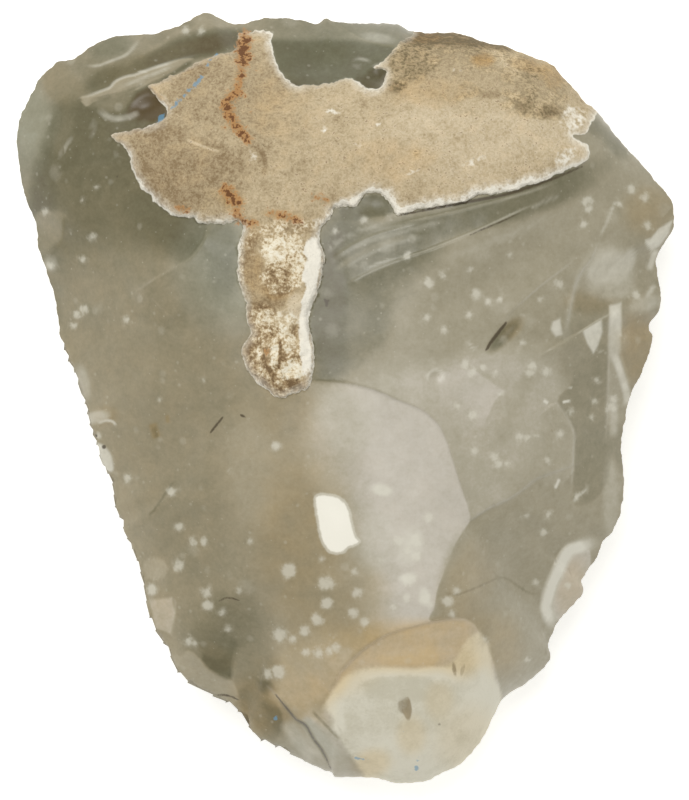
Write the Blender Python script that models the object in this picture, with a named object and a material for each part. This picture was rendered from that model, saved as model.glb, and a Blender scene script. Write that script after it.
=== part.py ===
"""Flint nodule: one knapped stone, lying on its back with its best face up.

Metres, +Z up, +Y along the stone's length, origin under the middle of its box.

The stone is a ball of quads drawn out to the outline that it has in plan. Its
upper face is a low dome, where a patch of the chalky natural skin stands above
the flake scars. Its under face is a deeper dome, cut off flat where it rests.
Crests between the scars cross both faces.
"""

import math
from typing import NamedTuple

import bmesh
import bpy
import numpy as np

# Driving dimensions, in metres.
LENGTH = 0.150
WIDTH = 0.128
THICKNESS = 0.050

# Heights above the lowest point of the uncut stone, in millimetres.
EDGE_HEIGHT = 22.0
TOP_HEIGHT = 48.0
REST_CUT = 1.2

# Shape of the two domes: a higher power gives a flatter middle.
UPPER_POWER = 2.5
UNDER_POWER = 2.4
SHARP_EDGE = 1.0
ROUND_EDGE = 0.55

# The chalky skin: its step above the scars, the width of that step, and how
# much further it swells towards its middle, in millimetres.
SKIN_STEP = 2.4
SKIN_RIM = 1.6
SKIN_SWELL = 3.0
SKIN_SWELL_REACH = 9.0

# How finely the ball is divided, and the share of faces that is kept.
BALL_CUTS = 63
KEPT_FACES = 0.15
SPLINE_STEPS = 4

# Everything below is drawn in plan, in millimetres, +X right and +Y up.
MIDDLE = (0.0, 6.0)

OUTLINE = (
    (-27.1, 75), (-22.4, 73), (-15.6, 73.7), (-10.8, 73.9), (-5.7, 72.9), (-1, 72.9), (7.2, 72.9), (13, 71.4),
    (22.7, 70.8), (28.4, 68.8), (37.6, 65.9), (42.5, 62.6), (46.8, 57.6), (54.2, 49.8), (59.5, 43.8),
    (63.3, 39.1), (63.9, 35.9), (61.9, 29.6), (60.7, 26.5), (61.8, 20.6), (59.3, 13.2), (59.6, 9.6),
    (57.6, 4.4), (54, -6.8), (54.4, -16.3), (52.2, -26.2), (49.2, -30.5), (46.2, -35.3), (46.1, -38.7),
    (41.9, -43.3), (39.7, -48), (40, -50.9), (35.7, -55.4), (31.7, -58.1), (26.5, -66.6), (22.3, -71.3),
    (17.3, -74), (10.1, -75), (5.9, -74), (-1.4, -73.8), (-7.9, -70.7), (-16.2, -66.8), (-19.3, -62.3),
    (-24.1, -59), (-31, -55.1), (-34.7, -48.6), (-38.3, -42.3), (-39.3, -35.3), (-43.4, -26.3),
    (-44.8, -19.4), (-47.4, -12.8), (-49.9, -4.4), (-54.7, 9.8), (-57.5, 22.2), (-60.1, 33.5),
    (-62.8, 41.5), (-63.9, 51.7), (-61.5, 57.6), (-57.5, 64.3), (-53, 66), (-47.3, 69.4), (-37.2, 70.9),
    (-31.2, 73.2),
)

SKIN_OUTLINE = (
    (-45.9, 51.1), (-37.2, 53.5), (-34.8, 55.6), (-38.9, 60.6), (-30.4, 64.3), (-21.2, 67.8), (-20.3, 71.3),
    (-14, 71.6), (-13.3, 65.1), (-9.4, 60.8), (-3.1, 61.3), (2.3, 61.6), (6.5, 60), (7.9, 63.3),
    (11, 69.3), (14.5, 74), (26.2, 74), (41.8, 68), (49.5, 59), (46.8, 51.7), (47.8, 48.7), (44.3, 44.8),
    (36.9, 41.7), (25.7, 39), (14.5, 36.6), (9.7, 35.9), (6.2, 40), (2, 36.7), (-2.9, 35), (-5.1, 30.4),
    (-4.2, 25.5), (-7, 15.2), (-5.9, 8.4), (-7.2, 2), (-12.9, 0.1), (-19, 6.1), (-18.1, 12.5),
    (-20.6, 27.1), (-19.8, 33.5), (-28.5, 33.9), (-35.4, 37.2), (-41.4, 44),
)


class Crest(NamedTuple):
    """A line between two flake scars, with the height of the stone on its left and right."""

    points: tuple
    left: float
    right: float
    reach: float


UPPER_CRESTS = (
    Crest(((-10, 3.5), (1.5, 2.6), (9.9, -0.4), (18.4, -5.7), (21.2, -13), (24.4, -23.7)), 1.5, 0.6, 9),
    Crest(((24.4, -22), (20.4, -30.9), (18, -37.3), (16.9, -46)), 1.1, 1.1, 8),
    Crest(((-6, -60), (4, -48.4), (8.9, -45.6), (14, -44.1), (24, -43)), 1.4, 0.2, 8),
    Crest(((22, -25.4), (27.4, -21.7), (35, -17.5), (43, -13)), 1.2, 0.6, 9),
    Crest(((40, 2), (44.5, -6.3), (44.3, -15.9), (43, -25)), 1.4, 0.4, 8),
    Crest(((38, 8.5), (46, 13.3), (51.9, 16.4), (64, 22)), 1.4, 0.4, 8),
    Crest(((2, 23.5), (10.7, 26.9), (20.2, 30.2), (37.1, 37.8), (50, 47)), 0.6, 1.6, 7),
    Crest(((-24, 36), (-30, 27.1), (-37.6, 22.6), (-47, 17)), 1.2, 0.3, 9),
    Crest(((-58, 56), (-44.6, 60.6), (-35.4, 64.8), (-27, 67)), 1.2, 0.8, 6),
    Crest(((-15.5, -52), (-9, -62.8), (-4.1, -68.6), (-1, -76)), 0.3, 1.6, 7),
)


class Flake(NamedTuple):
    """A scar struck off near the edge: its direction from MIDDLE in degrees, its
    middle as a share of the way out, and its length, width and depth."""

    direction: float
    out: float
    length: float
    width: float
    depth: float


UPPER_FLAKES = (
    Flake(158, 0.83, 26, 24, 1.6),
    Flake(176, 0.86, 22, 20, 1.4),
    Flake(203, 0.84, 26, 24, 1.5),
    Flake(232, 0.80, 30, 20, 1.8),
    Flake(251, 0.84, 28, 16, 1.6),
    Flake(312, 0.84, 26, 22, 1.6),
    Flake(334, 0.84, 24, 22, 1.4),
    Flake(357, 0.86, 24, 20, 1.6),
    Flake(18, 0.84, 26, 20, 1.6),
)

UNDER_FLAKES = (
    Flake(8, 0.70, 42, 30, 4.0),
    Flake(30, 0.74, 36, 26, 3.2),
    Flake(92, 0.68, 46, 30, 3.6),
    Flake(122, 0.72, 44, 30, 4.2),
    Flake(150, 0.74, 36, 28, 3.2),
    Flake(176, 0.70, 40, 26, 3.8),
    Flake(204, 0.72, 38, 28, 3.4),
    Flake(232, 0.66, 44, 26, 3.6),
    Flake(256, 0.72, 40, 22, 3.0),
    Flake(302, 0.70, 46, 26, 3.8),
    Flake(326, 0.72, 36, 26, 3.4),
    Flake(348, 0.74, 34, 24, 3.0),
)

# Stretches where the skin or the chalk rounds the edge over: their middle and
# their half width, as directions from MIDDLE in degrees.
ROUND_STRETCHES = ((62.0, 26.0), (-78.0, 20.0))

# Waves of the edge up and down: turns round the stone, height in millimetres, start.
EDGE_WAVES = ((2, 2.2, 0.6), (3, 1.6, 2.1), (5, 1.0, 4.0), (8, 0.5, 1.0))

# The notches of the outline run inland as far as this share of the way to MIDDLE.
# Further in, the domes follow the outline averaged over these directions, in degrees.
NOTCH_START = 0.5
BLUR_DIRECTIONS = range(-24, 25, 6)


def spline(points, closed):
    """Return points on a smooth line through the given ones."""
    known = np.array(points, dtype=float)
    if closed:
        ring = np.vstack([known[-1], known, known[:2]])
    else:
        ring = np.vstack([2 * known[0] - known[1], known, 2 * known[-1] - known[-2]])
    part = np.linspace(0.0, 1.0, SPLINE_STEPS, endpoint=False)[:, None]
    pieces = []
    for before, start, end, after in zip(ring, ring[1:], ring[2:], ring[3:]):
        cubic = 3 * start - before - 3 * end + after
        square = 2 * before - 5 * start + 4 * end - after
        pieces.append(0.5 * (2 * start + (end - before) * part + square * part**2 + cubic * part**3))
    pieces.append(known[:1] if closed else known[-1:])
    return np.vstack(pieces)


def nearest_on_line(places, line):
    """Return each place's distance to a line, its side (+1 left) and how far along it is."""
    distance = np.full(len(places), np.inf)
    side = np.ones(len(places))
    along = np.zeros(len(places))
    lengths = np.linalg.norm(np.diff(line, axis=0), axis=1)
    passed = 0.0
    for start, end, length in zip(line, line[1:], lengths):
        run = (end - start) / length
        offset = places - start
        travel = np.clip(offset @ run, 0.0, length)
        gap = np.linalg.norm(offset - travel[:, None] * run, axis=1)
        nearer = gap < distance
        distance[nearer] = gap[nearer]
        across = run[0] * offset[:, 1] - run[1] * offset[:, 0]
        side[nearer] = np.where(across >= 0.0, 1.0, -1.0)[nearer]
        along[nearer] = (passed + travel[nearer]) / lengths.sum()
        passed += length
    return distance, side, along


def depth_inside(places, ring):
    """Return each place's distance to a closed line, counted negative outside it."""
    distance = nearest_on_line(places, ring)[0]
    inside = np.zeros(len(places), dtype=bool)
    for (x0, y0), (x1, y1) in zip(ring, ring[1:]):
        if y0 == y1:
            continue
        crosses = (y0 > places[:, 1]) != (y1 > places[:, 1])
        inside ^= crosses & (places[:, 0] < x0 + (x1 - x0) * (places[:, 1] - y0) / (y1 - y0))
    return np.where(inside, distance, -distance)


def smooth_step(low, high, value):
    """Return 0 below low, 1 above high and a smooth rise between."""
    part = np.clip((value - low) / (high - low), 0.0, 1.0)
    return part * part * (3.0 - 2.0 * part)


def crest_relief(places, crests):
    """Return how far the crests lift each place, in millimetres."""
    end_fade = 0.18
    turn_over = 0.5
    lift = np.zeros(len(places))
    for crest in crests:
        distance, side, along = nearest_on_line(places, spline(crest.points, closed=False))
        left_share = 0.5 + 0.5 * np.tanh(side * distance / turn_over)
        height = crest.left * left_share + crest.right * (1.0 - left_share)
        ends = smooth_step(0.0, end_fade, along) * smooth_step(0.0, end_fade, 1.0 - along)
        lift += height * np.exp(-distance / crest.reach) * ends
    return lift


def outline_radius(angles):
    """Return the outline's distance from MIDDLE in each direction, in millimetres."""
    ring = spline(OUTLINE, closed=True)[:-1] - MIDDLE
    directions = np.arctan2(ring[:, 1], ring[:, 0])
    return np.interp(angles, directions, np.hypot(ring[:, 0], ring[:, 1]), period=math.tau)


def flake_depth(places, flakes):
    """Return how deep the flakes cut at each place, in millimetres."""
    depth = np.zeros(len(places))
    for flake in flakes:
        angle = math.radians(flake.direction)
        outward = np.array([math.cos(angle), math.sin(angle)])
        offset = places - MIDDLE - flake.out * outline_radius(angle) * outward
        along = 2.0 * (offset @ outward) / flake.length
        across = 2.0 * (offset[:, 1] * outward[0] - offset[:, 0] * outward[1]) / flake.width
        depth = np.maximum(depth, flake.depth * (1.0 - along**2 - across**2))
    return depth


def dome_reach(reach, angles):
    """Return how far out each place counts as lying on the domes: 0 in the middle, 1 at the edge."""
    own = outline_radius(angles)
    blurred = np.mean([outline_radius(angles + math.radians(turn)) for turn in BLUR_DIRECTIONS], axis=0)
    smoothed = reach * own / blurred
    return smoothed + (reach - smoothed) * smooth_step(NOTCH_START, 1.0, reach)


def edge_height(angles):
    """Return the height of the stone's edge in each direction, in millimetres."""
    return EDGE_HEIGHT + sum(height * np.sin(turns * angles + start) for turns, height, start in EDGE_WAVES)


def edge_power(angles):
    """Return the power that shapes the edge: low where it is rounded over."""
    rounded = np.zeros(len(angles))
    for middle, half_width in ROUND_STRETCHES:
        away = np.abs((np.degrees(angles) - middle + 180.0) % 360.0 - 180.0)
        rounded = np.maximum(rounded, 1.0 - smooth_step(0.6 * half_width, 1.4 * half_width, away))
    return SHARP_EDGE + (ROUND_EDGE - SHARP_EDGE) * rounded


def upper_height(places, reach, angles):
    """Return the height of the upper face, in millimetres."""
    edge = edge_height(angles)
    dome = edge + (TOP_HEIGHT - edge) * np.clip(1.0 - reach**UPPER_POWER, 0.0, 1.0) ** edge_power(angles)
    skin = depth_inside(places, spline(SKIN_OUTLINE, closed=True))
    step = SKIN_STEP * smooth_step(0.0, SKIN_RIM, skin)
    swell = SKIN_SWELL * (1.0 - np.exp(-np.clip(skin, 0.0, None) / SKIN_SWELL_REACH))
    bare = 1.0 - smooth_step(-SKIN_RIM, 0.0, skin)
    relief = step + swell + crest_relief(places, UPPER_CRESTS) - bare * flake_depth(places, UPPER_FLAKES)
    return dome + relief * (1.0 - reach**8)


def under_height(places, reach, angles):
    """Return the height of the under face, in millimetres, before it is cut to rest."""
    edge = edge_height(angles)
    dome = edge * (1.0 - np.clip(1.0 - reach**UNDER_POWER, 0.0, 1.0) ** edge_power(angles))
    return dome + flake_depth(places, UNDER_FLAKES) * (1.0 - reach**8)


def quad_ball():
    """Return a bmesh ball of even quads, of radius 1."""
    ball = bmesh.new()
    bmesh.ops.create_cube(ball, size=2.0)
    bmesh.ops.subdivide_edges(ball, edges=ball.edges[:], cuts=BALL_CUTS, use_grid_fill=True)
    for vertex in ball.verts:
        for axis in range(3):
            vertex.co[axis] = math.tan(vertex.co[axis] * math.pi / 4)
        vertex.co.normalize()
    return ball


def stone_places(ball):
    """Return where each point of the ball lies on the uncut stone, in metres."""
    directions = np.array([vertex.co[:] for vertex in ball.verts])
    angles = np.arctan2(directions[:, 1], directions[:, 0])
    reach = np.sqrt(np.clip(1.0 - np.abs(directions[:, 2]), 0.0, 1.0))
    radius = reach * outline_radius(angles)
    places = np.column_stack([radius * np.cos(angles), radius * np.sin(angles)]) + MIDDLE
    domed = dome_reach(reach, angles)
    upper = upper_height(places, domed, angles)
    under = under_height(places, domed, angles)
    height = np.where(directions[:, 2] >= 0.0, upper, under)
    return np.column_stack([places, height]) / 1000.0


def make_stone():
    """Add the uncut stone, thinned to the faces that its shape needs."""
    ball = quad_ball()
    for vertex, place in zip(ball.verts, stone_places(ball)):
        vertex.co = place
    mesh = bpy.data.meshes.new("flint_nodule")
    ball.to_mesh(mesh)
    ball.free()
    stone = bpy.data.objects.new("flint_nodule", mesh)
    bpy.context.collection.objects.link(stone)
    thin = stone.modifiers.new("thin", "DECIMATE")
    thin.ratio = KEPT_FACES
    thinned = bpy.data.meshes.new_from_object(stone.evaluated_get(bpy.context.evaluated_depsgraph_get()))
    stone.modifiers.clear()
    stone.data = thinned
    bpy.data.meshes.remove(mesh)
    thinned.name = "flint_nodule"
    return stone


def cut_rest_face(stone):
    """Cut the stone off flat where it rests."""
    shape = bmesh.new()
    shape.from_mesh(stone.data)
    everything = shape.verts[:] + shape.edges[:] + shape.faces[:]
    cut = bmesh.ops.bisect_plane(
        shape, geom=everything, plane_co=(0, 0, REST_CUT / 1000.0), plane_no=(0, 0, 1), clear_inner=True
    )
    rim = [item for item in cut["geom_cut"] if isinstance(item, bmesh.types.BMEdge)]
    bmesh.ops.edgenet_fill(shape, edges=rim)
    bmesh.ops.recalc_face_normals(shape, faces=shape.faces[:])
    shape.to_mesh(stone.data)
    shape.free()


def fit_to_size(stone):
    """Bring the stone to its driving dimensions, standing on the ground over the origin."""
    places = np.array([vertex.co[:] for vertex in stone.data.vertices])
    low, high = places.min(axis=0), places.max(axis=0)
    floor_middle = np.array([(low[0] + high[0]) / 2, (low[1] + high[1]) / 2, low[2]])
    fitted = (places - floor_middle) * (np.array([WIDTH, LENGTH, THICKNESS]) / (high - low))
    for vertex, place in zip(stone.data.vertices, fitted):
        vertex.co = place


def flint_material():
    """Return the stone's plain finish: grey-brown flint with a waxy gloss."""
    material = bpy.data.materials.new("flint")
    material.use_nodes = True
    shader = material.node_tree.nodes["Principled BSDF"]
    shader.inputs["Base Color"].default_value = (0.31, 0.27, 0.19, 1.0)
    shader.inputs["Roughness"].default_value = 0.45
    shader.inputs["Metallic"].default_value = 0.0
    return material


def main():
    """Build the stone in an empty scene."""
    for item in list(bpy.data.objects):
        bpy.data.objects.remove(item, do_unlink=True)
    stone = make_stone()
    cut_rest_face(stone)
    fit_to_size(stone)
    stone.data.shade_smooth()
    stone.data.materials.append(flint_material())


main()
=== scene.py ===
"""Flint nodule: the looks of one knapped stone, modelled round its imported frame.

The stone lies on its back, +Z up, +Y along its length. It starts as a divided
block, which is drawn out to the stone's outline in plan. The upper face is a low
dome with a raised patch of chalky natural skin, the under face a deeper dome that
is cut off flat where it rests, and flake scars cross both. What is painted on the
stone, such as the tones of its scars, specks, rust and soil, is drawn in plan by
brushes and kept in attributes, which its finish then reads. Wherever the paint
changes sharply, the block is divided again before the stone is drawn for good.

Everything drawn in plan is in millimetres, +X right and +Y up, over the middle
of the stone's box.
"""

import logging
import math
from collections.abc import Iterable
from dataclasses import dataclass, field
from enum import Enum

import bpy
import numpy as np
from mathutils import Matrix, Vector, noise


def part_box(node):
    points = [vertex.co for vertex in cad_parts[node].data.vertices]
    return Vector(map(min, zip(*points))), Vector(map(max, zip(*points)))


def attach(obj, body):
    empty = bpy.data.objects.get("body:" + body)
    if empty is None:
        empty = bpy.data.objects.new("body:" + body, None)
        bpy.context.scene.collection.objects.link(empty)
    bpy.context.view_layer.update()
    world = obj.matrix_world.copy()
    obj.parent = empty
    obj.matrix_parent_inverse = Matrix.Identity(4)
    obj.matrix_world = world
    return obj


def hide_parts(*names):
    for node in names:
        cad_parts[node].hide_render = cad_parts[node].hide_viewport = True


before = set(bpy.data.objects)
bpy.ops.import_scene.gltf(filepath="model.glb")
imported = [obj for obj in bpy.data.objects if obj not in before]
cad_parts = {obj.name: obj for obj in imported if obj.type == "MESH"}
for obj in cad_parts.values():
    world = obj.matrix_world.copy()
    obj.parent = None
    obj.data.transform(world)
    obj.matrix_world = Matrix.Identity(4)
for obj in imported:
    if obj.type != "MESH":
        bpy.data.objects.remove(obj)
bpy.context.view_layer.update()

LOG = logging.getLogger("flint_nodule")
NODE = "flint_nodule"
MM = 0.001

# What a channel that holds depths has where nothing is marked, in millimetres, and how
# far round a mark its depth is worked out.
FAR_OUTSIDE = -20.0
MARK_MARGIN = 3.0
# How far a smooth outline may swing out past its points, in millimetres.
OUTLINE_SWING = 2.0
# Where a wash stops being full, and where it is gone, as shares of its half size.
WASH_FULL, WASH_GONE = 0.5, 1.35
# How much of a stroke's length thins out at each end, and how much of its width is full.
STROKE_END, STROKE_FULL = 0.2, 0.2
# The same for a crest's ends, how many of its reaches it is felt over, and the width of its line.
CREST_END, CREST_REACHES, RIDGE_WIDTH = 0.18, 5.0, 0.5
# Relief dies away at the stone's edge with this power of the way out.
EDGE_POWER = 8
# How far under a ball's equator a point still counts as on it, for rounding.
EQUATOR_SLACK = 1e-6

Point = tuple[float, float]
Line = tuple[Point, ...]
Colour = tuple[float, float, float]
Rows = np.ndarray | slice
Stops = Iterable[tuple[float, Colour]]


# ---------------------------------------------------------------- plan drawing


def smooth_step(low: float, high: float, value: np.ndarray) -> np.ndarray:
    """Rise smoothly from 0 to 1.

    Args:
        low: The value where the rise starts.
        high: The value where it ends.
        value: The values to place on it.

    Returns:
        The height of the rise at each value.
    """
    part = np.clip((value - low) / (high - low), 0.0, 1.0)
    return part * part * (3.0 - 2.0 * part)


def close_to(places: np.ndarray, points: Iterable[Point], margin: float) -> np.ndarray:
    """Pick the places in the box round some points.

    Args:
        places: Places in plan, one to a row.
        points: The points.
        margin: How far the box reaches past them.

    Returns:
        The rows of those places.
    """
    known = np.array(tuple(points), dtype=float)
    low, high = known.min(axis=0) - margin, known.max(axis=0) + margin
    return np.flatnonzero(np.all((places >= low) & (places <= high), axis=1))


@dataclass(frozen=True)
class Curve:
    """A line through points drawn in plan.

    Attributes:
        points: The points, in order.
        closed: Whether the line runs back to its start.
        smooth: Whether it bends smoothly at the points, or has corners there.
        steps: How many straight pieces stand for each smooth stretch.
    """

    points: Line
    closed: bool = False
    smooth: bool = True
    steps: int = 4

    def traced(self) -> np.ndarray:
        """Return the points of the line as it is drawn."""
        known = np.array(self.points, dtype=float)
        if not self.smooth:
            return np.vstack([known, known[:1]]) if self.closed else known
        if self.closed:
            ring = np.vstack([known[-1], known, known[:2]])
        else:
            ring = np.vstack([2 * known[0] - known[1], known, 2 * known[-1] - known[-2]])
        part = np.linspace(0.0, 1.0, self.steps, endpoint=False)[:, None]
        pieces = []
        for before, start, end, after in zip(ring, ring[1:], ring[2:], ring[3:]):
            cubic = 3 * start - before - 3 * end + after
            square = 2 * before - 5 * start + 4 * end - after
            pieces.append(0.5 * (2 * start + (end - before) * part + square * part**2 + cubic * part**3))
        pieces.append(known[:1] if self.closed else known[-1:])
        return np.vstack(pieces)

    def nearest(self, places: np.ndarray) -> tuple[np.ndarray, np.ndarray, np.ndarray]:
        """Measure places against the line.

        Args:
            places: Places in plan, one to a row.

        Returns:
            Each place's distance to the line, its side (+1 left, -1 right) and
            how far along the line it lies, from 0 to 1.
        """
        line = self.traced()
        distance = np.full(len(places), np.inf)
        side = np.ones(len(places))
        along = np.zeros(len(places))
        lengths = np.linalg.norm(np.diff(line, axis=0), axis=1)
        passed = 0.0
        for start, end, length in zip(line, line[1:], lengths):
            run = (end - start) / length
            offset = places - start
            travel = np.clip(offset @ run, 0.0, length)
            gap = np.linalg.norm(offset - travel[:, None] * run, axis=1)
            nearer = gap < distance
            distance[nearer] = gap[nearer]
            across = run[0] * offset[:, 1] - run[1] * offset[:, 0]
            side[nearer] = np.where(across >= 0.0, 1.0, -1.0)[nearer]
            along[nearer] = (passed + travel[nearer]) / lengths.sum()
            passed += length
        return distance, side, along

    def depth(self, places: np.ndarray) -> np.ndarray:
        """Measure places against the closed line.

        Args:
            places: Places in plan, one to a row.

        Returns:
            Each place's distance to the line, counted negative outside it.
        """
        distance = self.nearest(places)[0]
        inside = np.zeros(len(places), dtype=bool)
        ring = self.traced()
        for (x0, y0), (x1, y1) in zip(ring, ring[1:]):
            if y0 != y1:
                crosses = (y0 > places[:, 1]) != (y1 > places[:, 1])
                inside ^= crosses & (places[:, 0] < x0 + (x1 - x0) * (places[:, 1] - y0) / (y1 - y0))
        return np.where(inside, distance, -distance)


def ellipse(places: np.ndarray, middle: Point, across: float, along: float, turn: float) -> np.ndarray:
    """Measure places against an ellipse.

    Args:
        places: Places in plan, one to a row.
        middle: The middle of the ellipse.
        across: Its half width.
        along: Its half height.
        turn: How far it is turned anticlockwise, in degrees.

    Returns:
        How far out each place lies: 0 in the middle, 1 on the ellipse.
    """
    angle = math.radians(turn)
    offset = places - np.array(middle)
    right = offset @ np.array([math.cos(angle), math.sin(angle)]) / across
    up = offset @ np.array([-math.sin(angle), math.cos(angle)]) / along
    return np.hypot(right, up)


# ---------------------------------------------------------------- paint


class Channel(Enum):
    """What is painted on the stone, each in an attribute of its own."""

    TONE = "tone"
    HONEY = "honey"
    PALE = "pale"
    CHALK = "chalk"
    RIM = "rim"
    BLEACH = "bleach"
    CRUMB = "crumb"
    SOIL = "soil"
    SHADE = "shade"
    SKIN = "skin_depth"
    SPECK = "speck_depth"
    RUST = "rust_depth"
    BLUE = "blue_depth"
    DARK = "dark_depth"
    RIDGE = "ridge_depth"

    @property
    def is_depth(self) -> bool:
        """Whether the channel holds depths inside its marks, in millimetres."""
        return self.value.endswith("_depth")

    @property
    def blank(self) -> float:
        """The channel's number where nothing is painted."""
        return FAR_OUTSIDE if self.is_depth else 0.0


class Coat:
    """The paint on one face of the stone: a number in each channel at each place.

    Args:
        places: Places in plan, one to a row.
    """

    def __init__(self, places: np.ndarray) -> None:
        self.places = places
        self.amounts = {channel: np.full(len(places), channel.blank) for channel in Channel}

    def lay(self, channel: Channel, amount: float, share: np.ndarray, rows: Rows = slice(None)) -> None:
        """Blend a channel towards an amount.

        Args:
            channel: The channel to paint.
            amount: The amount to reach.
            share: How far to go towards it at each place, from 0 to 1.
            rows: The places to paint.
        """
        self.amounts[channel][rows] += (amount - self.amounts[channel][rows]) * share

    def add(self, paint: "Paint") -> None:
        """Lay the brushes of every channel, in their order.

        Args:
            paint: The brushes.
        """
        for channel, brushes in paint.items():
            for brush in brushes:
                brush.apply(self, channel)

    def mark(self, channel: Channel, depth: np.ndarray, rows: Rows = slice(None)) -> None:
        """Join a mark to those of a channel that holds depths.

        Args:
            channel: The channel to mark.
            depth: Each place's depth inside the mark, negative outside it.
            rows: The places to mark.
        """
        self.amounts[channel][rows] = np.maximum(self.amounts[channel][rows], depth)


@dataclass(frozen=True)
class Wash:
    """A soft ellipse of one amount, full in its middle half and gone a third outside.

    Attributes:
        amount: The amount in its middle.
        middle: Where it lies.
        across: Its half width.
        along: Its half height.
        turn: How far it is turned anticlockwise, in degrees.
    """

    amount: float
    middle: Point
    across: float
    along: float
    turn: float = 0.0

    def apply(self, coat: Coat, channel: Channel) -> None:
        """Lay the wash on a channel of a coat."""
        reach = ellipse(coat.places, self.middle, self.across, self.along, self.turn)
        coat.lay(channel, self.amount, 1.0 - smooth_step(WASH_FULL, WASH_GONE, reach))


@dataclass(frozen=True)
class Facet:
    """A crisp area of one amount, such as a scar, which can fade out on one side.

    Attributes:
        amount: The amount inside.
        ring: Its closed outline.
        soft: The half width of its edge.
        smooth: Whether its outline bends smoothly.
        fade: A line to whose left it shows, or none.
        fade_width: The half width of that fading.
    """

    amount: float
    ring: Line
    soft: float = 0.2
    smooth: bool = True
    fade: Line = ()
    fade_width: float = 4.0

    def apply(self, coat: Coat, channel: Channel) -> None:
        """Lay the facet on a coat.

        Args:
            coat: The coat.
            channel: The channel that it paints.
        """
        rows = close_to(coat.places, self.ring, OUTLINE_SWING + self.soft)
        places = coat.places[rows]
        depth = Curve(self.ring, closed=True, smooth=self.smooth).depth(places)
        share = smooth_step(-self.soft, self.soft, depth)
        if self.fade:
            distance, side, _ = Curve(self.fade).nearest(places)
            share *= smooth_step(-self.fade_width, self.fade_width, side * distance)
        coat.lay(channel, self.amount, share, rows)


@dataclass(frozen=True)
class Stroke:
    """A soft line of one amount, thinned out towards its ends.

    Attributes:
        amount: The amount along its middle.
        points: The points that it runs through.
        width: Its width.
    """

    amount: float
    points: Line
    width: float

    def apply(self, coat: Coat, channel: Channel) -> None:
        """Lay the stroke on a coat.

        Args:
            coat: The coat.
            channel: The channel that it paints.
        """
        rows = close_to(coat.places, self.points, self.width)
        distance, _, along = Curve(self.points).nearest(coat.places[rows])
        ends = smooth_step(0.0, STROKE_END, along) * smooth_step(0.0, STROKE_END, 1.0 - along)
        share = ends * (1.0 - smooth_step(STROKE_FULL, 1.0, 2.0 * distance / self.width))
        coat.lay(channel, self.amount, share, rows)


@dataclass(frozen=True)
class Vein:
    """A crisp line in a channel that holds depths, at its widest in its middle.

    Attributes:
        points: The points that it runs through.
        width: Its width.
        end_width: Its width at both ends.
    """

    points: Line
    width: float
    end_width: float = 0.1

    def apply(self, coat: Coat, channel: Channel) -> None:
        """Mark the vein on a coat.

        Args:
            coat: The coat.
            channel: The channel that it marks.
        """
        rows = close_to(coat.places, self.points, MARK_MARGIN)
        distance, _, along = Curve(self.points).nearest(coat.places[rows])
        bulge = np.sqrt(np.clip(np.sin(np.pi * along), 0.0, 1.0))
        width = self.end_width + (self.width - self.end_width) * bulge
        coat.mark(channel, width / 2 - distance, rows)


@dataclass(frozen=True)
class Patch:
    """A closed mark in a channel that holds depths.

    Attributes:
        ring: Its closed outline.
        crisp: How many times faster than its own distance the depth grows.
    """

    ring: Line
    crisp: float = 1.0

    def apply(self, coat: Coat, channel: Channel) -> None:
        """Mark the patch on a coat.

        Args:
            coat: The coat.
            channel: The channel that it marks.
        """
        rows = close_to(coat.places, self.ring, MARK_MARGIN)
        depth = Curve(self.ring, closed=True).depth(coat.places[rows])
        coat.mark(channel, self.crisp * depth, rows)


@dataclass(frozen=True)
class Dots:
    """Round marks in a channel that holds depths.

    Attributes:
        dots: Each dot's middle, across and up, and its radius.
        deepest: The depth that their flat middles have.
    """

    dots: tuple[tuple[float, float, float], ...]
    deepest: float = 0.6

    def apply(self, coat: Coat, channel: Channel) -> None:
        """Mark the dots on a coat.

        Args:
            coat: The coat.
            channel: The channel that it marks.
        """
        for x, y, radius in self.dots:
            rows = close_to(coat.places, ((x, y),), radius + MARK_MARGIN)
            away = np.linalg.norm(coat.places[rows] - np.array((x, y)), axis=1)
            coat.mark(channel, np.minimum(radius - away, self.deepest), rows)


Brush = Wash | Facet | Stroke | Vein | Patch | Dots
Paint = dict[Channel, tuple[Brush, ...]]


# ---------------------------------------------------------------- relief


@dataclass(frozen=True)
class Crest:
    """A line between two scars, lifted or sunk.

    Attributes:
        points: The points that it runs through.
        left: How far the stone on its left stands up.
        right: How far the stone on its right stands up.
        reach: How fast both die away from the line.
        turn_over: How fast one side gives way to the other.
    """

    points: Line
    left: float
    right: float
    reach: float
    turn_over: float = 0.22

    def lift(self, places: np.ndarray) -> np.ndarray:
        """Work out how far the crest lifts each place.

        Args:
            places: Places in plan, one to a row.

        Returns:
            The lifts, in millimetres.
        """
        rows = close_to(places, self.points, CREST_REACHES * self.reach)
        distance, side, along = Curve(self.points).nearest(places[rows])
        left_share = 0.5 + 0.5 * np.tanh(side * distance / self.turn_over)
        height = self.left * left_share + self.right * (1.0 - left_share)
        ends = smooth_step(0.0, CREST_END, along) * smooth_step(0.0, CREST_END, 1.0 - along)
        lift = np.zeros(len(places))
        lift[rows] = height * np.exp(-distance / self.reach) * ends
        return lift

    def apply(self, coat: Coat) -> None:
        """Mark the crest's line on a coat; the finish paints it a little paler, as a painted highlight."""
        Vein(self.points, RIDGE_WIDTH, 0.0).apply(coat, Channel.RIDGE)


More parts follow.
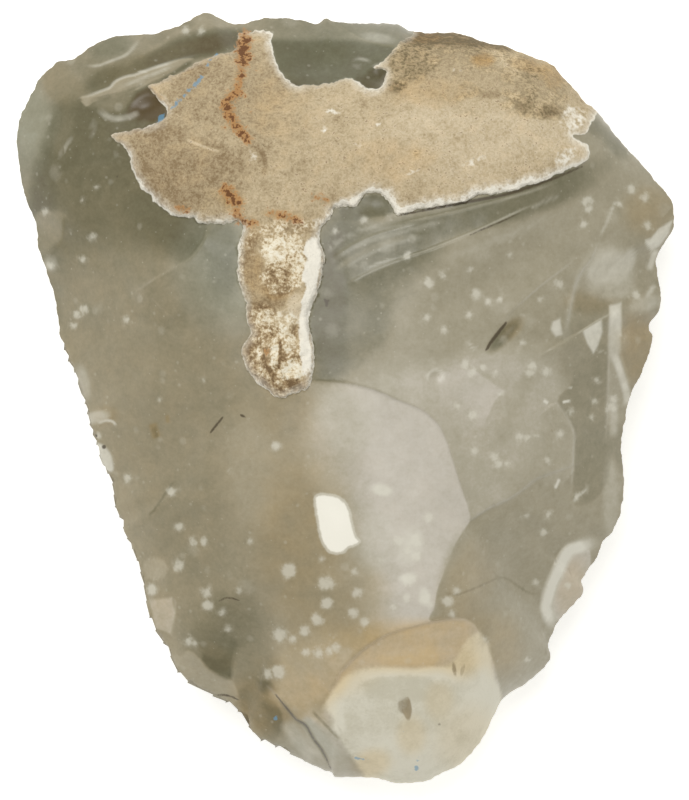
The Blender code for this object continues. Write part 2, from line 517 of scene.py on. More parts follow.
@dataclass(frozen=True)
class Hollow:
    """A smooth oval hollow.

    Attributes:
        middle: Where it lies.
        across: Its half width.
        along: Its half height.
        turn: How far it is turned anticlockwise, in degrees.
        deep: How deep it is; a negative depth is a bump.
    """

    middle: Point
    across: float
    along: float
    turn: float
    deep: float

    def lift(self, places: np.ndarray) -> np.ndarray:
        """Return how far the hollow lifts each place, in millimetres: a negative lift sinks it."""
        reach = ellipse(places, self.middle, self.across, self.along, self.turn)
        return -self.deep * (1.0 - smooth_step(0.0, 1.0, reach))


@dataclass(frozen=True)
class Flake:
    """A scar struck off near the edge, a shallow bowl with a crisp rim.

    Attributes:
        direction: Its direction from the middle of the stone, in degrees.
        out: Its own middle, as a share of the way out.
        length: Its length, outwards.
        width: Its width.
        deep: Its depth.
    """

    direction: float
    out: float
    length: float
    width: float
    deep: float


OUTLINE: Line = (
    (-27.1, 75), (-22.4, 73), (-19.5, 72.9), (-15.6, 73.7), (-10.8, 73.9), (-5.7, 72.9), (-3.5, 73.9),
    (-1, 72.9), (7.2, 72.9), (11, 72.5), (13, 71.4), (18.2, 71.1), (22.7, 70.8), (25.4, 70.1),
    (28.4, 68.8), (30.4, 68.8), (32.9, 67.7), (37.6, 65.9), (40.3, 64.6), (42.5, 62.6), (46.8, 57.6),
    (48.6, 56.1), (54.2, 49.8), (59.5, 43.8), (63.3, 39.1), (63.9, 35.9), (63.8, 32.6), (61.9, 29.6),
    (60.7, 26.5), (61.3, 23.1), (61.8, 20.6), (61.6, 17.5), (59.6, 14.8), (59.3, 13.2), (60, 12.1),
    (59.6, 9.6), (57.6, 4.4), (55.4, -0.1), (54, -6.8), (54, -10.5), (54.4, -16.3), (54, -20.4),
    (52.2, -26.2), (50.5, -27.5), (49.2, -30.5), (46.2, -35.3), (46.5, -36.7), (46.1, -38.7),
    (41.9, -43.3), (40.5, -45.8), (39.7, -48), (40, -50.9), (35.7, -55.4), (31.7, -58.1), (28.7, -62.6),
    (26.5, -66.6), (22.3, -71.3), (17.3, -74), (13.8, -74.8), (10.1, -75), (5.9, -74), (-1.4, -73.8),
    (-2.5, -72.7), (-7.9, -70.7), (-11.9, -68.8), (-16.2, -66.8), (-18.5, -64.8), (-19.3, -62.3),
    (-24.1, -59), (-31, -55.1), (-33, -52.6), (-34.7, -48.6), (-38.3, -42.3), (-39.3, -35.3),
    (-42, -28.3), (-43.4, -26.3), (-43.2, -24.7), (-44.6, -22), (-44.8, -19.4), (-45.8, -15.5),
    (-47.4, -12.8), (-48.3, -9.2), (-49.9, -4.4), (-50.7, -0.3), (-54.7, 9.8), (-55.7, 15.2),
    (-57.5, 22.2), (-59.7, 29.6), (-60.1, 33.5), (-62.8, 41.5), (-63.9, 51.7), (-61.5, 57.6),
    (-59.7, 61.6), (-57.5, 64.3), (-55.5, 65.6), (-53, 66), (-47.3, 69.4), (-43.6, 70.5), (-37.2, 70.9),
    (-32.9, 72.2), (-31.2, 73.2),
)

SKIN_OUTLINE: Line = (
    (-45.5, 51), (-41.5, 52.1), (-37, 53.2), (-34.5, 55.5), (-36.7, 58.3), (-38.4, 60.6), (-35.4, 61.6),
    (-30.4, 64.3), (-26.3, 66), (-21.2, 67.8), (-21.2, 70.5), (-20.3, 71.3), (-14.6, 71.2), (-14.3, 68.3),
    (-13.3, 65.1), (-11.6, 62.6), (-9.4, 60.8), (-6.6, 60.7), (-3.1, 61.1), (0.7, 62.3), (2.3, 61.6),
    (4.5, 60.3), (6.5, 60), (7.6, 61.6), (7.9, 63.3), (5.8, 64.1), (7.7, 65.6), (9.2, 67.5), (11, 69.3),
    (13.2, 71), (14.5, 73.5), (26.2, 72.6), (41.8, 66.7), (49.5, 59), (48.5, 54.1), (48, 53.5),
    (46.6, 51.4), (44.3, 51), (45.7, 49.7), (47.4, 48.5), (47, 46.2), (44.3, 44.8), (40.6, 43),
    (36.9, 41.7), (33.2, 40.5), (29.4, 39.5), (25.7, 39), (22.7, 37.4), (19.5, 37.2), (14.5, 36.6),
    (10.8, 35.3), (9.7, 35.9), (9.1, 37.6), (8, 38.8), (6.2, 39.6), (4, 39.4), (2.6, 37.9), (2, 36.7),
    (0.2, 37), (-2, 36.7), (-2.9, 35), (-4.5, 32.9), (-5.1, 30.4), (-4.2, 28.8), (-3.9, 25.5), (-5, 21.2),
    (-6.4, 17.9), (-7, 15.2), (-6.4, 12.5), (-5.9, 8.4), (-6.4, 4.3), (-7.2, 2), (-10.5, 0.7),
    (-12.9, 0.1), (-15.1, 1.5), (-17.6, 3.7), (-19, 6.1), (-19.9, 8.9), (-19.2, 11), (-18.1, 12.5),
    (-19, 15.2), (-19.2, 18.4), (-19.8, 21.2), (-21.1, 23.9), (-20.6, 27.1), (-20.3, 30.4), (-19.8, 33.5),
    (-21.7, 34.3), (-25.9, 33.6), (-28.5, 33.6), (-29.5, 34.8), (-32.9, 35.3), (-35.4, 37.2),
    (-37.8, 39.1), (-39.5, 41.1), (-41.1, 44.1), (-41.7, 46.3), (-43, 48.8),
)

# Lines between the scars of the best face.
PALE_SCAR_EDGE: Line = (
    (-8.8, 3.1), (-5.7, 3.3), (-3.1, 3.1), (1.5, 2.6), (6.6, 1.2), (9.9, -0.3), (14.3, -2.1),
    (16.7, -3.8), (18.4, -5.7), (19.8, -8.7), (21.2, -13), (22.7, -17.7), (24.4, -23.7),
)
PALE_SCAR_FOOT: Line = (
    (24.4, -23.7), (21.9, -27.6), (20.4, -30.9), (19, -34.6), (18, -37.3), (17.5, -40.4), (16.9, -43.3),
)
CHALK_SCAR_EDGE: Line = ((-2, -55.6), (-0.2, -52.5), (4, -48.4), (8.9, -45.6), (14, -44.1), (16.9, -43.3))
DARK_SCAR_EDGE: Line = (
    (24.4, -23.7), (27.4, -21.7), (31.8, -19.6), (35, -17.5), (37.3, -15.7), (41.8, -14),
)
GREY_FACET_EDGE: Line = (
    (-26.3, 33.5), (-26.7, 32.3), (-27.6, 30.2), (-30, 27.1), (-32.9, 25.3), (-37.6, 22.6), (-42.2, 19.5),
)
LIP: Line = (
    (-51.4, 58.4), (-49.6, 58.8), (-47.7, 59.5), (-45.7, 60.3), (-44.6, 61.5), (-42.6, 62.4),
    (-40.7, 62.8), (-38, 63.8), (-35, 64.8), (-32.1, 65.8),
)
UPPER_LIP: Line = ((-50.8, 64.6), (-48.1, 64.6), (-45.3, 65.6), (-42.6, 66.7), (-40.9, 68.5), (-39.9, 70))
SEAM: Line = (
    (-15.8, -55.2), (-13.5, -57.5), (-11.1, -60.4), (-9.4, -62.4), (-7.6, -63.5), (-6.1, -66.1),
    (-4.3, -68.6), (-2.6, -72.3),
)
LOW_LINE: Line = (
    (9.1, 26.1), (12.6, 27.5), (15.5, 28.4), (20.2, 30.2), (26, 32.6), (29.7, 34.3), (33.8, 36.2),
    (37.9, 38),
)
HIGH_LINE: Line = ((7.7, 32.9), (10.7, 33.7), (18, 35.3), (26, 37.2), (35.2, 39.7), (41.8, 42))
FIN: Line = ((52.3, 16.6), (49.5, 15.2), (46.2, 13.1), (44.5, 12.1))
RUST_LINE: Line = (
    (-20.3, 65.4), (-20.5, 61.1), (-21, 59.1), (-22.6, 57.8), (-23, 56.4), (-22.2, 54.7), (-21.2, 52.9),
    (-20.1, 51.6), (-18.5, 49.6),
)
RING_EDGE: Line = (
    (49.5, -26.8), (47.6, -27.8), (43.7, -28.5), (41.8, -30.3), (40.4, -33.4), (39, -37.3), (38.3, -41.2),
    (39.2, -43.7), (41.4, -45.1),
)

UPPER_CRESTS = (
    Crest(PALE_SCAR_EDGE, 0.9, 0.4, 7), Crest(PALE_SCAR_FOOT, 0.8, 0.9, 6),
    Crest(((-3.9, -58.7),) + CHALK_SCAR_EDGE + ((21.3, -42.7), (26.2, -43.5)), 1.3, 0.2, 6),
    Crest(((22.7, -25),) + DARK_SCAR_EDGE[1:] + ((46.6, -12.4),), 1.1, 0.3, 8),
    Crest(((38.1, -3.1), (41.2, -1.1), (44.5, -6.3), (44.5, -10.1), (44.1, -17.8)), 0.2, 0.9, 6),
    Crest(((55, 18.1),) + FIN + ((41, 10.1), (37.9, 8.2)), 1.2, 0.5, 6), Crest(LOW_LINE, 0.3, 0.9, 4),
    Crest(HIGH_LINE, 0.2, 0.7, 2.6),
    Crest(((-3, 26.5), (1.3, 29.6), (7.2, 32.1), (16.5, 34.3)), 0.3, 0.5, 4),
    Crest(((0, 22), (5.8, 24.9), (12.2, 27.5)), 0.2, 0.4, 4), Crest(GREY_FACET_EDGE, 0.9, 0.5, 7),
    Crest(((-38, 19.5), (-36.8, 18.7), (-35, 16.8), (-32.3, 14.8)), 0.4, 0.2, 4),
    Crest(((-53.5, 57.2),) + LIP + ((-27.3, 66.9),), 0.4, 1.5, 4),
    Crest(((-52, 63.4),) + UPPER_LIP + ((-38, 71), (-33.7, 72)), 0.2, 0.9, 3.6),
    Crest(SEAM + ((-1.8, -76.2),), 1.3, -0.5, 7),
    Crest(((-6.3, -61.2), (-4.1, -62.8), (-1.6, -65.5), (0.2, -68.8)), 0.5, 0.2, 3),
    Crest(((-21.2, -48.6), (-22, -51.7), (-21.8, -54.8), (-20.5, -59.1)), 0.6, 0.2, 5),
    Crest(((-34.1, -49.3), (-31.9, -49.7), (-30.2, -49.2), (-27.8, -51.1), (-25.9, -53), (-22.2, -54.6),
        (-20.1, -59.5)), 0.2, 0.8, 4),
    Crest(((44.7, 26.9), (43.3, 25.7), (37.9, 21.6), (33, 17.3), (30.1, 14.2)), 0.5, 0.8, 5),
    Crest(((49.5, 30.8), (48, 27.1), (45.7, 24), (44.3, 19.9), (42.9, 12.3)), 0.3, 0.8, 4),
    Crest(((-54.3, 35.6), (-54.7, 34.3), (-55.1, 31), (-56.6, 29), (-59.3, 27.6)), 0.2, 0.7, 4),
    Crest(((-50, 67.7), (-50.3, 66.8), (-51.2, 63.4), (-52.3, 60.1)), 0.6, 0.3, 4),
    Crest(((-51.6, -4), (-49.8, -4.2), (-47.7, -3.7), (-45, -4.4)), 0.5, 0.1, 3),
    Crest(((-39.9, -39.8), (-38.1, -39.2), (-33.6, -38.8), (-33, -41.8), (-33.9, -47)), 0.6, 0, 3),
    Crest(((51.7, 18.1), (51.5, 16.6), (51.3, 11.3), (51.3, 5.7), (51.1, -0.3), (50.9, -9.1)), 0.4, 1,
        3.4),
    Crest(((53.8, 19.1), (53.8, 9.2), (54.9, 5.7), (55.8, 1.2), (54.6, -2.7)), 0.5, 0.3, 3),
    Crest(RING_EDGE, 0.7, -0.2, 3),
    Crest(((-1.8, 72.8), (1.3, 71), (4.4, 69.4), (8.7, 68.3), (11.4, 68.9)), 0.7, 0, 3),
    Crest(((18, -37.5), (21.3, -38.1), (24.1, -37.3), (28, -35.7), (30.1, -34.8), (32, -35.3),
        (34, -36.7), (36.1, -37.9), (39, -38.1)), 0.1, 0, 3),
    Crest(((-47.5, 55.8), (-46.5, 54.9), (-45.1, 54.3), (-43.4, 54.1), (-41.5, 54.7), (-39.5, 55.5)), 0.3,
        0.2, 2),
)

UPPER_HOLLOWS = (
    Hollow((30.7, 12.7), 4.8, 1.5, 46, 0.3), Hollow((11.6, -60.2), 1.3, 2.6, 8, 1.2),
    Hollow((-3.9, 65.4), 11, 5, 0, 1.4), Hollow((6.4, 62.1), 2.4, 2.2, 0, 1.4),
    Hollow((-38, 56.4), 4.5, 3, 20, 1.6), Hollow((6, 37.2), 4, 3.4, 0, 0.8),
    Hollow((43.3, -36.9), 3, 7, -14, 0.8), Hollow((17.7, 4.1), 1.6, 1.8, 0, 0.5),
    Hollow((-17.3, 47.1), 2, 2.6, -20, 0.6), Hollow((-25.3, 48.3), 11, 1.8, -24, 0.8),
    Hollow((-16.2, 46.3), 1.2, 3.4, -14, 0.5), Hollow((-43.8, 38.5), 14, 15, 0, 1.6),
    Hollow((7.7, -19.8), 15, 24, 8, 1.4), Hollow((34, -33.4), 11, 15, -10, 1.2),
    Hollow((33, 25.9), 20, 8, 32, 1), Hollow((-30.2, -10.1), 16, 30, 8, 1),
    Hollow((-12.7, 28.4), 3.4, 2.6, 0, -0.5), Hollow((-13.1, 18.1), 3.6, 1.6, 0, 0.6),
    Hollow((-14.2, 9.4), 3, 3.6, 0, -0.5),
)

SPECKS = Dots((
    (6.6, -17.8, 1), (7.9, -18, 1), (10.3, -27.8, 1), (13.8, -27.6, 1.3), (14, -30.7, 1.1),
    (12, -29.5, 0.8), (16.3, -23.1, 0.9), (12.6, -35.2, 1.2), (-3.9, -35.7, 1.3), (-2.8, -35.9, 0.9),
    (-10.7, -33.6, 1.4), (-3.5, -39.6, 1.1), (-5.3, -42.9, 1.1), (-12.5, -45.7, 1.4), (-10, -46.8, 0.8),
    (-7.8, -45.1, 0.9), (-1.8, -48.4, 1), (-3, -49, 0.8), (-5.1, -49.3, 0.8), (-7.6, -49.2, 0.7),
    (-15, -53.6, 0.9), (-12.9, -53.2, 1.3), (-13.3, -9.3, 0.9), (21.7, -1.5, 0.68), (24.8, -3.3, 0.85),
    (25, -10.3, 0.68), (24.7, 4.7, 0.68), (29.1, -11.4, 0.85), (29.7, -12.8, 0.94), (31.5, -12.8, 0.51),
    (39.6, -12, 0.68), (38.7, -26, 0.59), (37.1, -35.7, 0.59), (20, -39.4, 0.94), (21.7, -37.3, 0.59),
    (20.8, -41.8, 0.59), (45.1, -19.2, 0.51), (16.3, 22.2, 0.9), (19, 23.6, 0.59), (25.4, 20.1, 0.94),
    (27.6, 18.5, 0.59), (24.1, 16, 0.59), (15.9, 15.6, 0.6), (23.5, 6.5, 0.77), (24.8, 5.1, 0.77),
    (26.8, 5.9, 0.51), (29.1, 4.7, 0.51), (36.3, 6.3, 0.94), (35.9, 4.7, 0.85), (39.2, 5.1, 0.77),
    (47.2, 38.1, 1), (47.4, 36.6, 0.85), (46.4, 33.7, 0.77), (41.6, 22.2, 0.85), (34.4, 10.7, 0.59),
    (-51, 26.9, 0.65), (-49.2, 31.1, 0.65), (-50.8, 17.3, 0.72), (-52.3, 16.2, 0.72), (-52.9, 14.2, 0.58),
    (-42.4, 15.2, 0.72), (-58.4, 36.2, 0.65), (-42.4, -15.7, 0.75), (-33.7, -18.2, 0.85),
    (-32.1, -25, 0.75), (-29.4, -27.8, 0.85), (-27.3, -27.8, 0.8), (-32.3, -32.4, 1), (-37.6, -37.1, 1.1),
    (-26.9, -37.7, 0.9), (-26.7, -40.2, 0.95), (-23.8, -41.4, 0.75), (-22.6, -44.7, 0.58),
    (-30.4, -47.2, 0.72), (-29.2, -47.6, 0.5), (-48.1, -7.3, 0.58), (-57.4, 25.7, 0.6), (12, -38.8, 0.8),
    (2.5, -37.7, 0.9), (1.7, -41.6, 0.8), (3.8, -43.3, 0.8), (15.5, -38.8, 1.1), (16.7, -40, 0.68),
    (-20.5, -37.3, 0.36), (30.1, 19.1, 0.51), (19.2, 13.3, 0.51), (30.3, 0.8, 0.51), (33.8, -7.5, 0.77),
    (35.3, -7.7, 0.51), (41.8, -7, 0.77), (39.6, -22.5, 0.68), (35.3, -22.9, 0.34), (37.3, -7.2, 0.34),
    (27.2, -47, 0.68), (35.7, -50.9, 0.51), (-30.8, 71.6, 0.7), (-28, 71.4, 0.6), (-48.3, 40.9, 0.4),
    (-51, 38.5, 0.4), (-48.6, 31.5, 0.5), (43.9, -2.7, 0.59), (48, -3.8, 0.42), (51.9, -1.7, 1),
    (52.3, -0.3, 0.77), (48.6, -0.7, 0.51), (49.2, 3.5, 0.51), (37.9, 19.1, 0.42), (24.3, 24.9, 0.42),
    (32, 27.6, 0.42), (53.4, 37.6, 0.42), (55.8, 40.5, 0.85), (58.5, 38.9, 0.85), (58.9, 33.5, 0.77),
    (61.2, 43.4, 0.51), (56.7, 19.9, 0.77), (43.5, -36.5, 0.59), (42.3, -34.8, 0.51), (1.9, -33.6, 0.6),
    (6.8, -31.5, 0.5), (9.7, -40.4, 0.6), (-4.5, -31.1, 0.4), (-22.4, -14, 0.29), (-36, -0.3, 0.29),
    (-27.3, 3.5, 0.22), (-18.5, -27.6, 0.4),
))

FLINT_PAINT: Paint = {
    Channel.HONEY: (
        # the left half is a little more olive, the right half greyer
        Wash(0.35, (-38, 3.5), 36, 70),
        # dark olive flint round the left lobe of the skin
        Wash(-1, (-60.9, 53.7), 4.6, 10, -12), Wash(-0.9, (-20.5, 25.3), 12, 12),
        Wash(-0.6, (-1, 65.8), 16, 7),
        # lighter middle and right
        Wash(0.6, (59.3, 36.2), 5, 5), Wash(0.8, (56.9, 10.3), 3.6, 8), Wash(0.5, (47.6, 18.7), 5, 2.6),
        # honey brown flint beside and below the pale scar
        Wash(0.75, (-8, -27.6), 9, 20, 6), Wash(0.8, (-3, -49.9), 14, 8, 20),
        Wash(0.7, (-8.8, -58.7), 7, 6, -40),
        # scars with crisp edges
        Wash(0.5, (23.5, -37.3), 5, 10, -16),
        # stepped scars at the upper left
        Wash(-0.5, (-45, 68.3), 4.4, 2.4, 14), Wash(1, (-38, 56.6), 3.6, 3),
        # bottom left
        Wash(0.6, (-24.7, -50.5), 3.6, 2.6, -30), Wash(1, (-16.2, -59.8), 6.5, 5, -45),
        Stroke(-0.6, ((-8.8, -61.8), (-4.9, -65.7), (-1, -70.7)), 4), Wash(0.5, (-35.6, -41.6), 2.6, 3.4),
        # chalk at the tip, under its own scar
        Wash(1.5, (13.6, -48.2), 14, 5), Wash(1.1, (-8, -57.1), 8, 3.4, 10),
        Facet(1.2, CHALK_SCAR_EDGE + ((21.5, -43.1), (25, -45.8), (18.4, -49.3), (10.7, -50.1),
            (3.7, -51.3), (-1, -56.7)), 1.2),
        Wash(1.1, (23.1, -48.6), 4.6, 6, -12), Wash(0.4, (24.3, -66.5), 7, 7, 30),
        # pale marks in the flint
        Stroke(0.6, ((-50.8, 60.7), (-43.8, 63.4), (-36, 66.1), (-28.2, 68.5), (-20.8, 69.3)), 5),
        Wash(0.4, (-55.5, 60.9), 4, 5, 40), Wash(0.6, (-11.5, -1.9), 6, 7), Wash(0.5, (1.3, -37.3), 7, 6),
        Wash(0.6, (29.7, -47.4), 5, 7, 20), Wash(0.5, (44.1, -36.3), 3, 6, -14),
        Wash(0.8, (-46.5, -3.3), 2.8, 1.8), Wash(0.7, (32.4, 13.3), 3, 1.5, 42),
        # dark cracks, stains and holes
        Stroke(1.5, ((-37.4, -4.6), (-36.8, -6.8), (-36.4, -8.1)), 2.6),
        Stroke(1, ((-34.5, -3.1), (-34.3, -5)), 1.2),
        # marks on the chalk
        Wash(0.8, (5.2, -71.1), 4, 3, 20), Wash(0.6, (13, -65.5), 3, 4), Wash(0.5, (18.4, -58.7), 3, 4),
    ),
    Channel.TONE: (
        # dark olive flint round the left lobe of the skin, darkened partly by painted shade of the slopes
        # there
        Wash(-1.02, (-47.7, 44.8), 17, 22, -12), Wash(-0.98, (-35, 33.7), 13, 6.5, -28),
        Wash(-0.8, (-50.8, 31.7), 8, 12), Wash(-0.35, (-45.7, 19.1), 12, 12),
        Wash(0, (-60.9, 54.1), 4, 9, -12), Wash(-0.2, (-31.1, 5.5), 22, 20),
        Wash(-0.2, (-28.2, -23.7), 14, 16), Wash(-0.1, (-48.6, -0.3), 5, 12, 12),
        # right of the stem and under the skin
        Wash(-1.2, (-1.4, 19.1), 6.5, 19, -4), Wash(-0.25, (8.7, 21), 12, 10),
        Wash(0.1, (34, 25.9), 22, 11, 30), Wash(-0.9, (25.8, 35.4), 22, 3, 15),
        Wash(-0.7, (39.8, 40.5), 12, 3, 24), Wash(-0.85, (7.5, 27.6), 13, 6, 24),
        # lighter middle and right
        Wash(0.75, (24.3, 2.6), 21, 8), Wash(0.55, (26.2, -6.2), 18, 12),
        Wash(0.1, (16.5, 13.3), 14, 7, 12), Wash(-0.2, (46.6, 10.3), 5, 10),
        Wash(-0.2, (47.6, -6.2), 2.6, 9), Wash(0.5, (27.4, -21), 6, 9), Wash(0.2, (-16.2, -14), 8, 12),
        Wash(-0.7, (3.3, 15.6), 6, 8), Wash(-1.15, (-1.8, 18.3), 2.6, 12),
        Stroke(0.4, ((39.4, 7.4), (35, 2.6), (32, -3.3), (30.1, -10.1)), 5),
        Facet(0.95, ((18.4, 5.1), (25, 5.5), (30.9, 1.4), (29.3, -0.3), (27, -5.2), (22.7, -8.1),
            (18.4, -2.3)), smooth=False, fade=((16.5, 3.5), (30.1, -8.1)), fade_width=5),
        Wash(0.25, (53.8, -15.9), 2.6, 8), Wash(-0.3, (48, 18.7), 4, 3),
        # honey brown flint beside and below the pale scar
        Wash(0.55, (-6.5, -52.8), 12, 7, 20),
        # bottom left
        Wash(-0.5, (-23.4, -45.1), 9, 8, 20), Wash(-0.3, (-17.5, -52.8), 5, 5),
        # scars with crisp edges
        # the pale scar: paler flint, partly a painted sheen of light reflected off its broad face
        Facet(1.05, PALE_SCAR_EDGE + PALE_SCAR_FOOT[1:] + CHALK_SCAR_EDGE[::-1] + ((-8.8, -49),
            (-12.3, -31.5), (-12.7, -15.9), (-11.1, -0.3)), fade=((-4.5, 7.4), (-3, -4.2), (0, -15.9),
            (3.3, -27.6), (6.4, -39.2), (4, -50.9), (0.9, -58.7)), fade_width=7.5),
        Facet(0.08, DARK_SCAR_EDGE + ((49.5, -14.7), (55.8, -15.9), (54.6, -21.7), (50.7, -28.5),
            (43.7, -35.3), (41.8, -47), (40.2, -51.7), (31.1, -59.5), (29.3, -54.8), (28.2, -49),
            (25.8, -43.9)) + PALE_SCAR_FOOT[::-1], fade=((53.4, -10.5), (24.3, -19.8)), fade_width=4),
        Wash(0.3, (34, -47), 7, 9, -20), Wash(0.25, (22.7, -33.4), 3.6, 8, -16),
        Facet(-0.28, ((44.5, -6.2), (41.4, -0.7), (44.1, 2.8), (46, 7.4), (49.5, 12.5), (51.3, 11.3),
            (51.1, -4.2), (52.3, -10.1), (49.9, -18.6), (44.9, -20.8), (44.5, -14.9)), 0.35,
            fade=((55.4, 11.3), (37.9, 9)), fade_width=4),
        Facet(0.3, ((38.1, -3.1), (41.2, -1.1), (42.9, -3.7), (44.5, -6.3), (44.7, -14), (42.2, -17.1),
            (38.8, -16.7), (35.5, -14), (37.5, -8.1), (38.5, -5)), smooth=False, fade=((37.5, -0.3),
            (38.8, -19.8)), fade_width=3),
        Facet(-0.35, GREY_FACET_EDGE + ((-39.9, 15.2), (-30.2, 13.3), (-21.2, 17.1), (-20.8, 26.5),
            (-20.3, 30.2), (-20.5, 33.5)), fade=((-22.8, 13.3), (-24, 38.5)), fade_width=10),
        Wash(-0.7, (-23.6, 27.3), 3.4, 8),
        # the gap in the skin at the top edge
        Wash(-0.45, (-6.8, 71.6), 10, 3, -4),
        Facet(-1.05, ((-15.4, 69.6), (-14.2, 67.7), (-13.3, 64.6), (-11.5, 61.9), (-9.2, 59.9),
            (-3, 60.3), (0.9, 61.9), (6.8, 59.1), (8.7, 63.8), (10.3, 67.7), (7.7, 68.5), (4, 69.3),
            (-1, 69.6), (-8.8, 69.6)), 0.7),
        Facet(-0.55, ((-1.8, 73.1), (1.3, 71), (4.4, 69.4), (8.7, 68.3), (11.4, 68.9), (14.5, 72.4),
            (6.8, 74.7))),
        Facet(-1.4, ((3.7, 62.6), (5.2, 63.8), (7.9, 63.8), (7.9, 61.1), (6.4, 59.5), (3.7, 60.3),
            (2.1, 61.9)), 0.5),
        # stepped scars at the upper left
        Facet(-0.5, ((-50.8, 64.6), (-48.1, 64.6), (-45.3, 65.6), (-42.6, 66.7), (-38, 67.3),
            (-32.9, 70.4), (-25.3, 72), (-20.5, 70.8), (-21.2, 67.7), (-26.3, 66.1), (-32.1, 65.8),
            (-35, 65.2), (-38, 64.2), (-40.7, 62.8), (-42.6, 62.3), (-44.6, 61.3), (-45.7, 60.1),
            (-47.7, 59.3), (-49.6, 58.6), (-52, 58.8), (-51.6, 61.9)), 0.6),
        Wash(-1.3, (-26.9, 68.7), 9, 2.4, 13), Wash(-1.1, (-35, 66.5), 7, 1.8, 22),
        Wash(-0.95, (-46.5, 61.9), 5, 2, 22), Wash(-0.55, (-45, 68.3), 4.4, 2.4, 14),
        Facet(-0.3, ((-41.1, 68.5), (-39.9, 70.2), (-36.4, 71), (-32.9, 71.8), (-34.5, 70), (-36.8, 68.3),
            (-39.9, 66.7), (-43, 65.8), (-46.1, 64.8), (-48.1, 64.2), (-49.6, 64.6), (-45.3, 65.9)), 0.7),
        Facet(0.12, LIP + ((-29.4, 65.9), (-31.3, 64.2), (-33.7, 62.3), (-36.4, 61.9), (-38.7, 60.7),
            (-40.7, 59.7), (-43.4, 58.8), (-46.1, 58.4), (-48.5, 57.6), (-50.4, 56.6)), 0.2),
        Stroke(-0.9, ((-36.8, 61.1), (-34.5, 62.3), (-32.1, 63.8), (-29, 65.8)), 1.5),
        Stroke(-0.1, ((-45.3, 59.1), (-41.8, 60.3), (-38.7, 61.9), (-34.8, 63), (-31.3, 65)), 0.9),
        Facet(-0.5, ((-49.2, 57.2), (-46.1, 58.6), (-43.8, 59), (-41.1, 59.7), (-41.5, 57.6), (-42.6, 56),
            (-45.1, 55.5), (-47.3, 56)), 1.1),
        Facet(-1.5, ((-41.6, 57.2), (-40.3, 59.1), (-38.3, 60.3), (-36.6, 59.3), (-34.5, 55.6),
            (-36, 53.9), (-38.7, 53.7), (-42.4, 54.9)), 0.8),
        Facet(-1, ((-1, 35.8), (0.2, 37), (2.1, 37.4), (2.9, 38.5), (5.2, 39.5), (8.3, 38.7), (9.5, 35.8),
            (6, 35), (0.9, 34.3)), 0.5),
        # bottom left
        Facet(0.2, ((-33.3, -49.7), (-31.9, -50.1), (-30.2, -49.2), (-27.8, -51.1), (-25.9, -53),
            (-22.2, -54.6), (-20.6, -58.7), (-25.3, -59.5), (-32.1, -55.6), (-34.8, -50.9)), 0.25),
        Facet(-1, ((-27.6, -49.3), (-25.9, -47.8), (-21.2, -47), (-21.8, -50.9), (-22.2, -54.6),
            (-25.9, -53), (-27.6, -51.1)), 0.5),
        Wash(-0.65, (-25.5, -47), 4.6, 3.4, -30),
        Facet(-0.45, ((-20.5, -56.7), (-17.3, -56), (-13.8, -57.9), (-11.9, -61), (-12.5, -65.3),
            (-14.6, -66.5), (-18.1, -63.3), (-20.1, -59.8)), 0.8),
        Facet(-0.8, ((-16.2, -58.7), (-14.2, -58.3), (-11.9, -61.2), (-12.5, -64.9), (-13.8, -64.1),
            (-15, -61.8)), 0.8),
        Wash(-1.1, (-14.8, -56.5), 2.4, 1.4, -35),
        Facet(-0.1, ((-1.4, -74.2),) + SEAM[:0:-1] + ((-14.6, -57.5), (-12.3, -61), (-11.9, -66.1),
            (-15, -67.4), (-8.8, -71.9)), 0.5),
        Wash(0.65, (-3.7, -66.1), 3.6, 8, 32),
        Facet(0.7, ((-38.1, -39.2), (-33.6, -38.8), (-33, -41.8), (-33.9, -45.8), (-36.8, -44.7)), 0.25,
            smooth=False),
        Facet(0.3, ((-39.1, -31.8), (-37, -30.9), (-34.8, -32), (-34.8, -34.4), (-36.6, -35.3),
            (-38.7, -34.6)), 0.3),
        # the steep scar down the right edge
        Facet(0.2, ((51.5, 17.9), (51.5, 13.3), (51.3, 5.7), (51.1, -5.2), (55.4, -5.2), (54.6, -2.7),
            (55.8, 1.2), (54.9, 5.7), (53.8, 9.2), (53.8, 18.1)), smooth=False),
        Wash(-0.3, (53.6, -9.7), 1.6, 5),
        Facet(-0.1, ((54, 19.1), (53.8, 9.2), (54.9, 5.7), (55.8, 1.2), (62, 9.4), (62, 19.1)),
            smooth=False),
        # chalk at the tip, under its own scar
        Wash(0.75, (-8, -56.7), 7, 3, 10),
        Facet(0.85, CHALK_SCAR_EDGE + ((25.4, -43.9), (30.1, -58.7), (18.4, -58.7), (-3, -62.6)), 0.3),
        Wash(0.95, (18.6, -45.3), 5, 2, 10), Wash(1.1, (14.5, -49.9), 11, 1.8, 4),
        # pale marks in the flint
        Stroke(-0.5, ((-50, 57.8), (-45.7, 58.8), (-41.8, 59.7), (-38.3, 61.5)), 0.8),
        Wash(-0.25, (-55.5, 62.3), 4, 5, 40), Wash(-0.75, (-55.1, 52.1), 2.6, 4.4, -20),
        Wash(-0.35, (-61.5, 41.5), 1.6, 6, 14), Wash(-1.1, (-58.8, 38.9), 3, 6),
        Wash(-0.5, (-56.6, 19.9), 1.4, 5, 12), Wash(-0.3, (-31.7, 72.6), 3, 0.8),
        Wash(-0.6, (52.7, 49.6), 4, 2, -48), Wash(-0.6, (48.6, 52.7), 2.6, 1.6, -48),
        Wash(-0.1, (-11.1, -2.3), 5, 6), Wash(0.6, (-1.8, -7.7), 6.5, 10, -10),
        Wash(-1, (-60.1, 34.5), 1.6, 2.4),
        Facet(-0.35, ((-54.3, 35.8), (-54.9, 34.3), (-55.1, 31.1), (-56.8, 29.6), (-59, 28),
            (-61.3, 30.8), (-60.5, 35.6), (-57.4, 36.6)), 0.6),
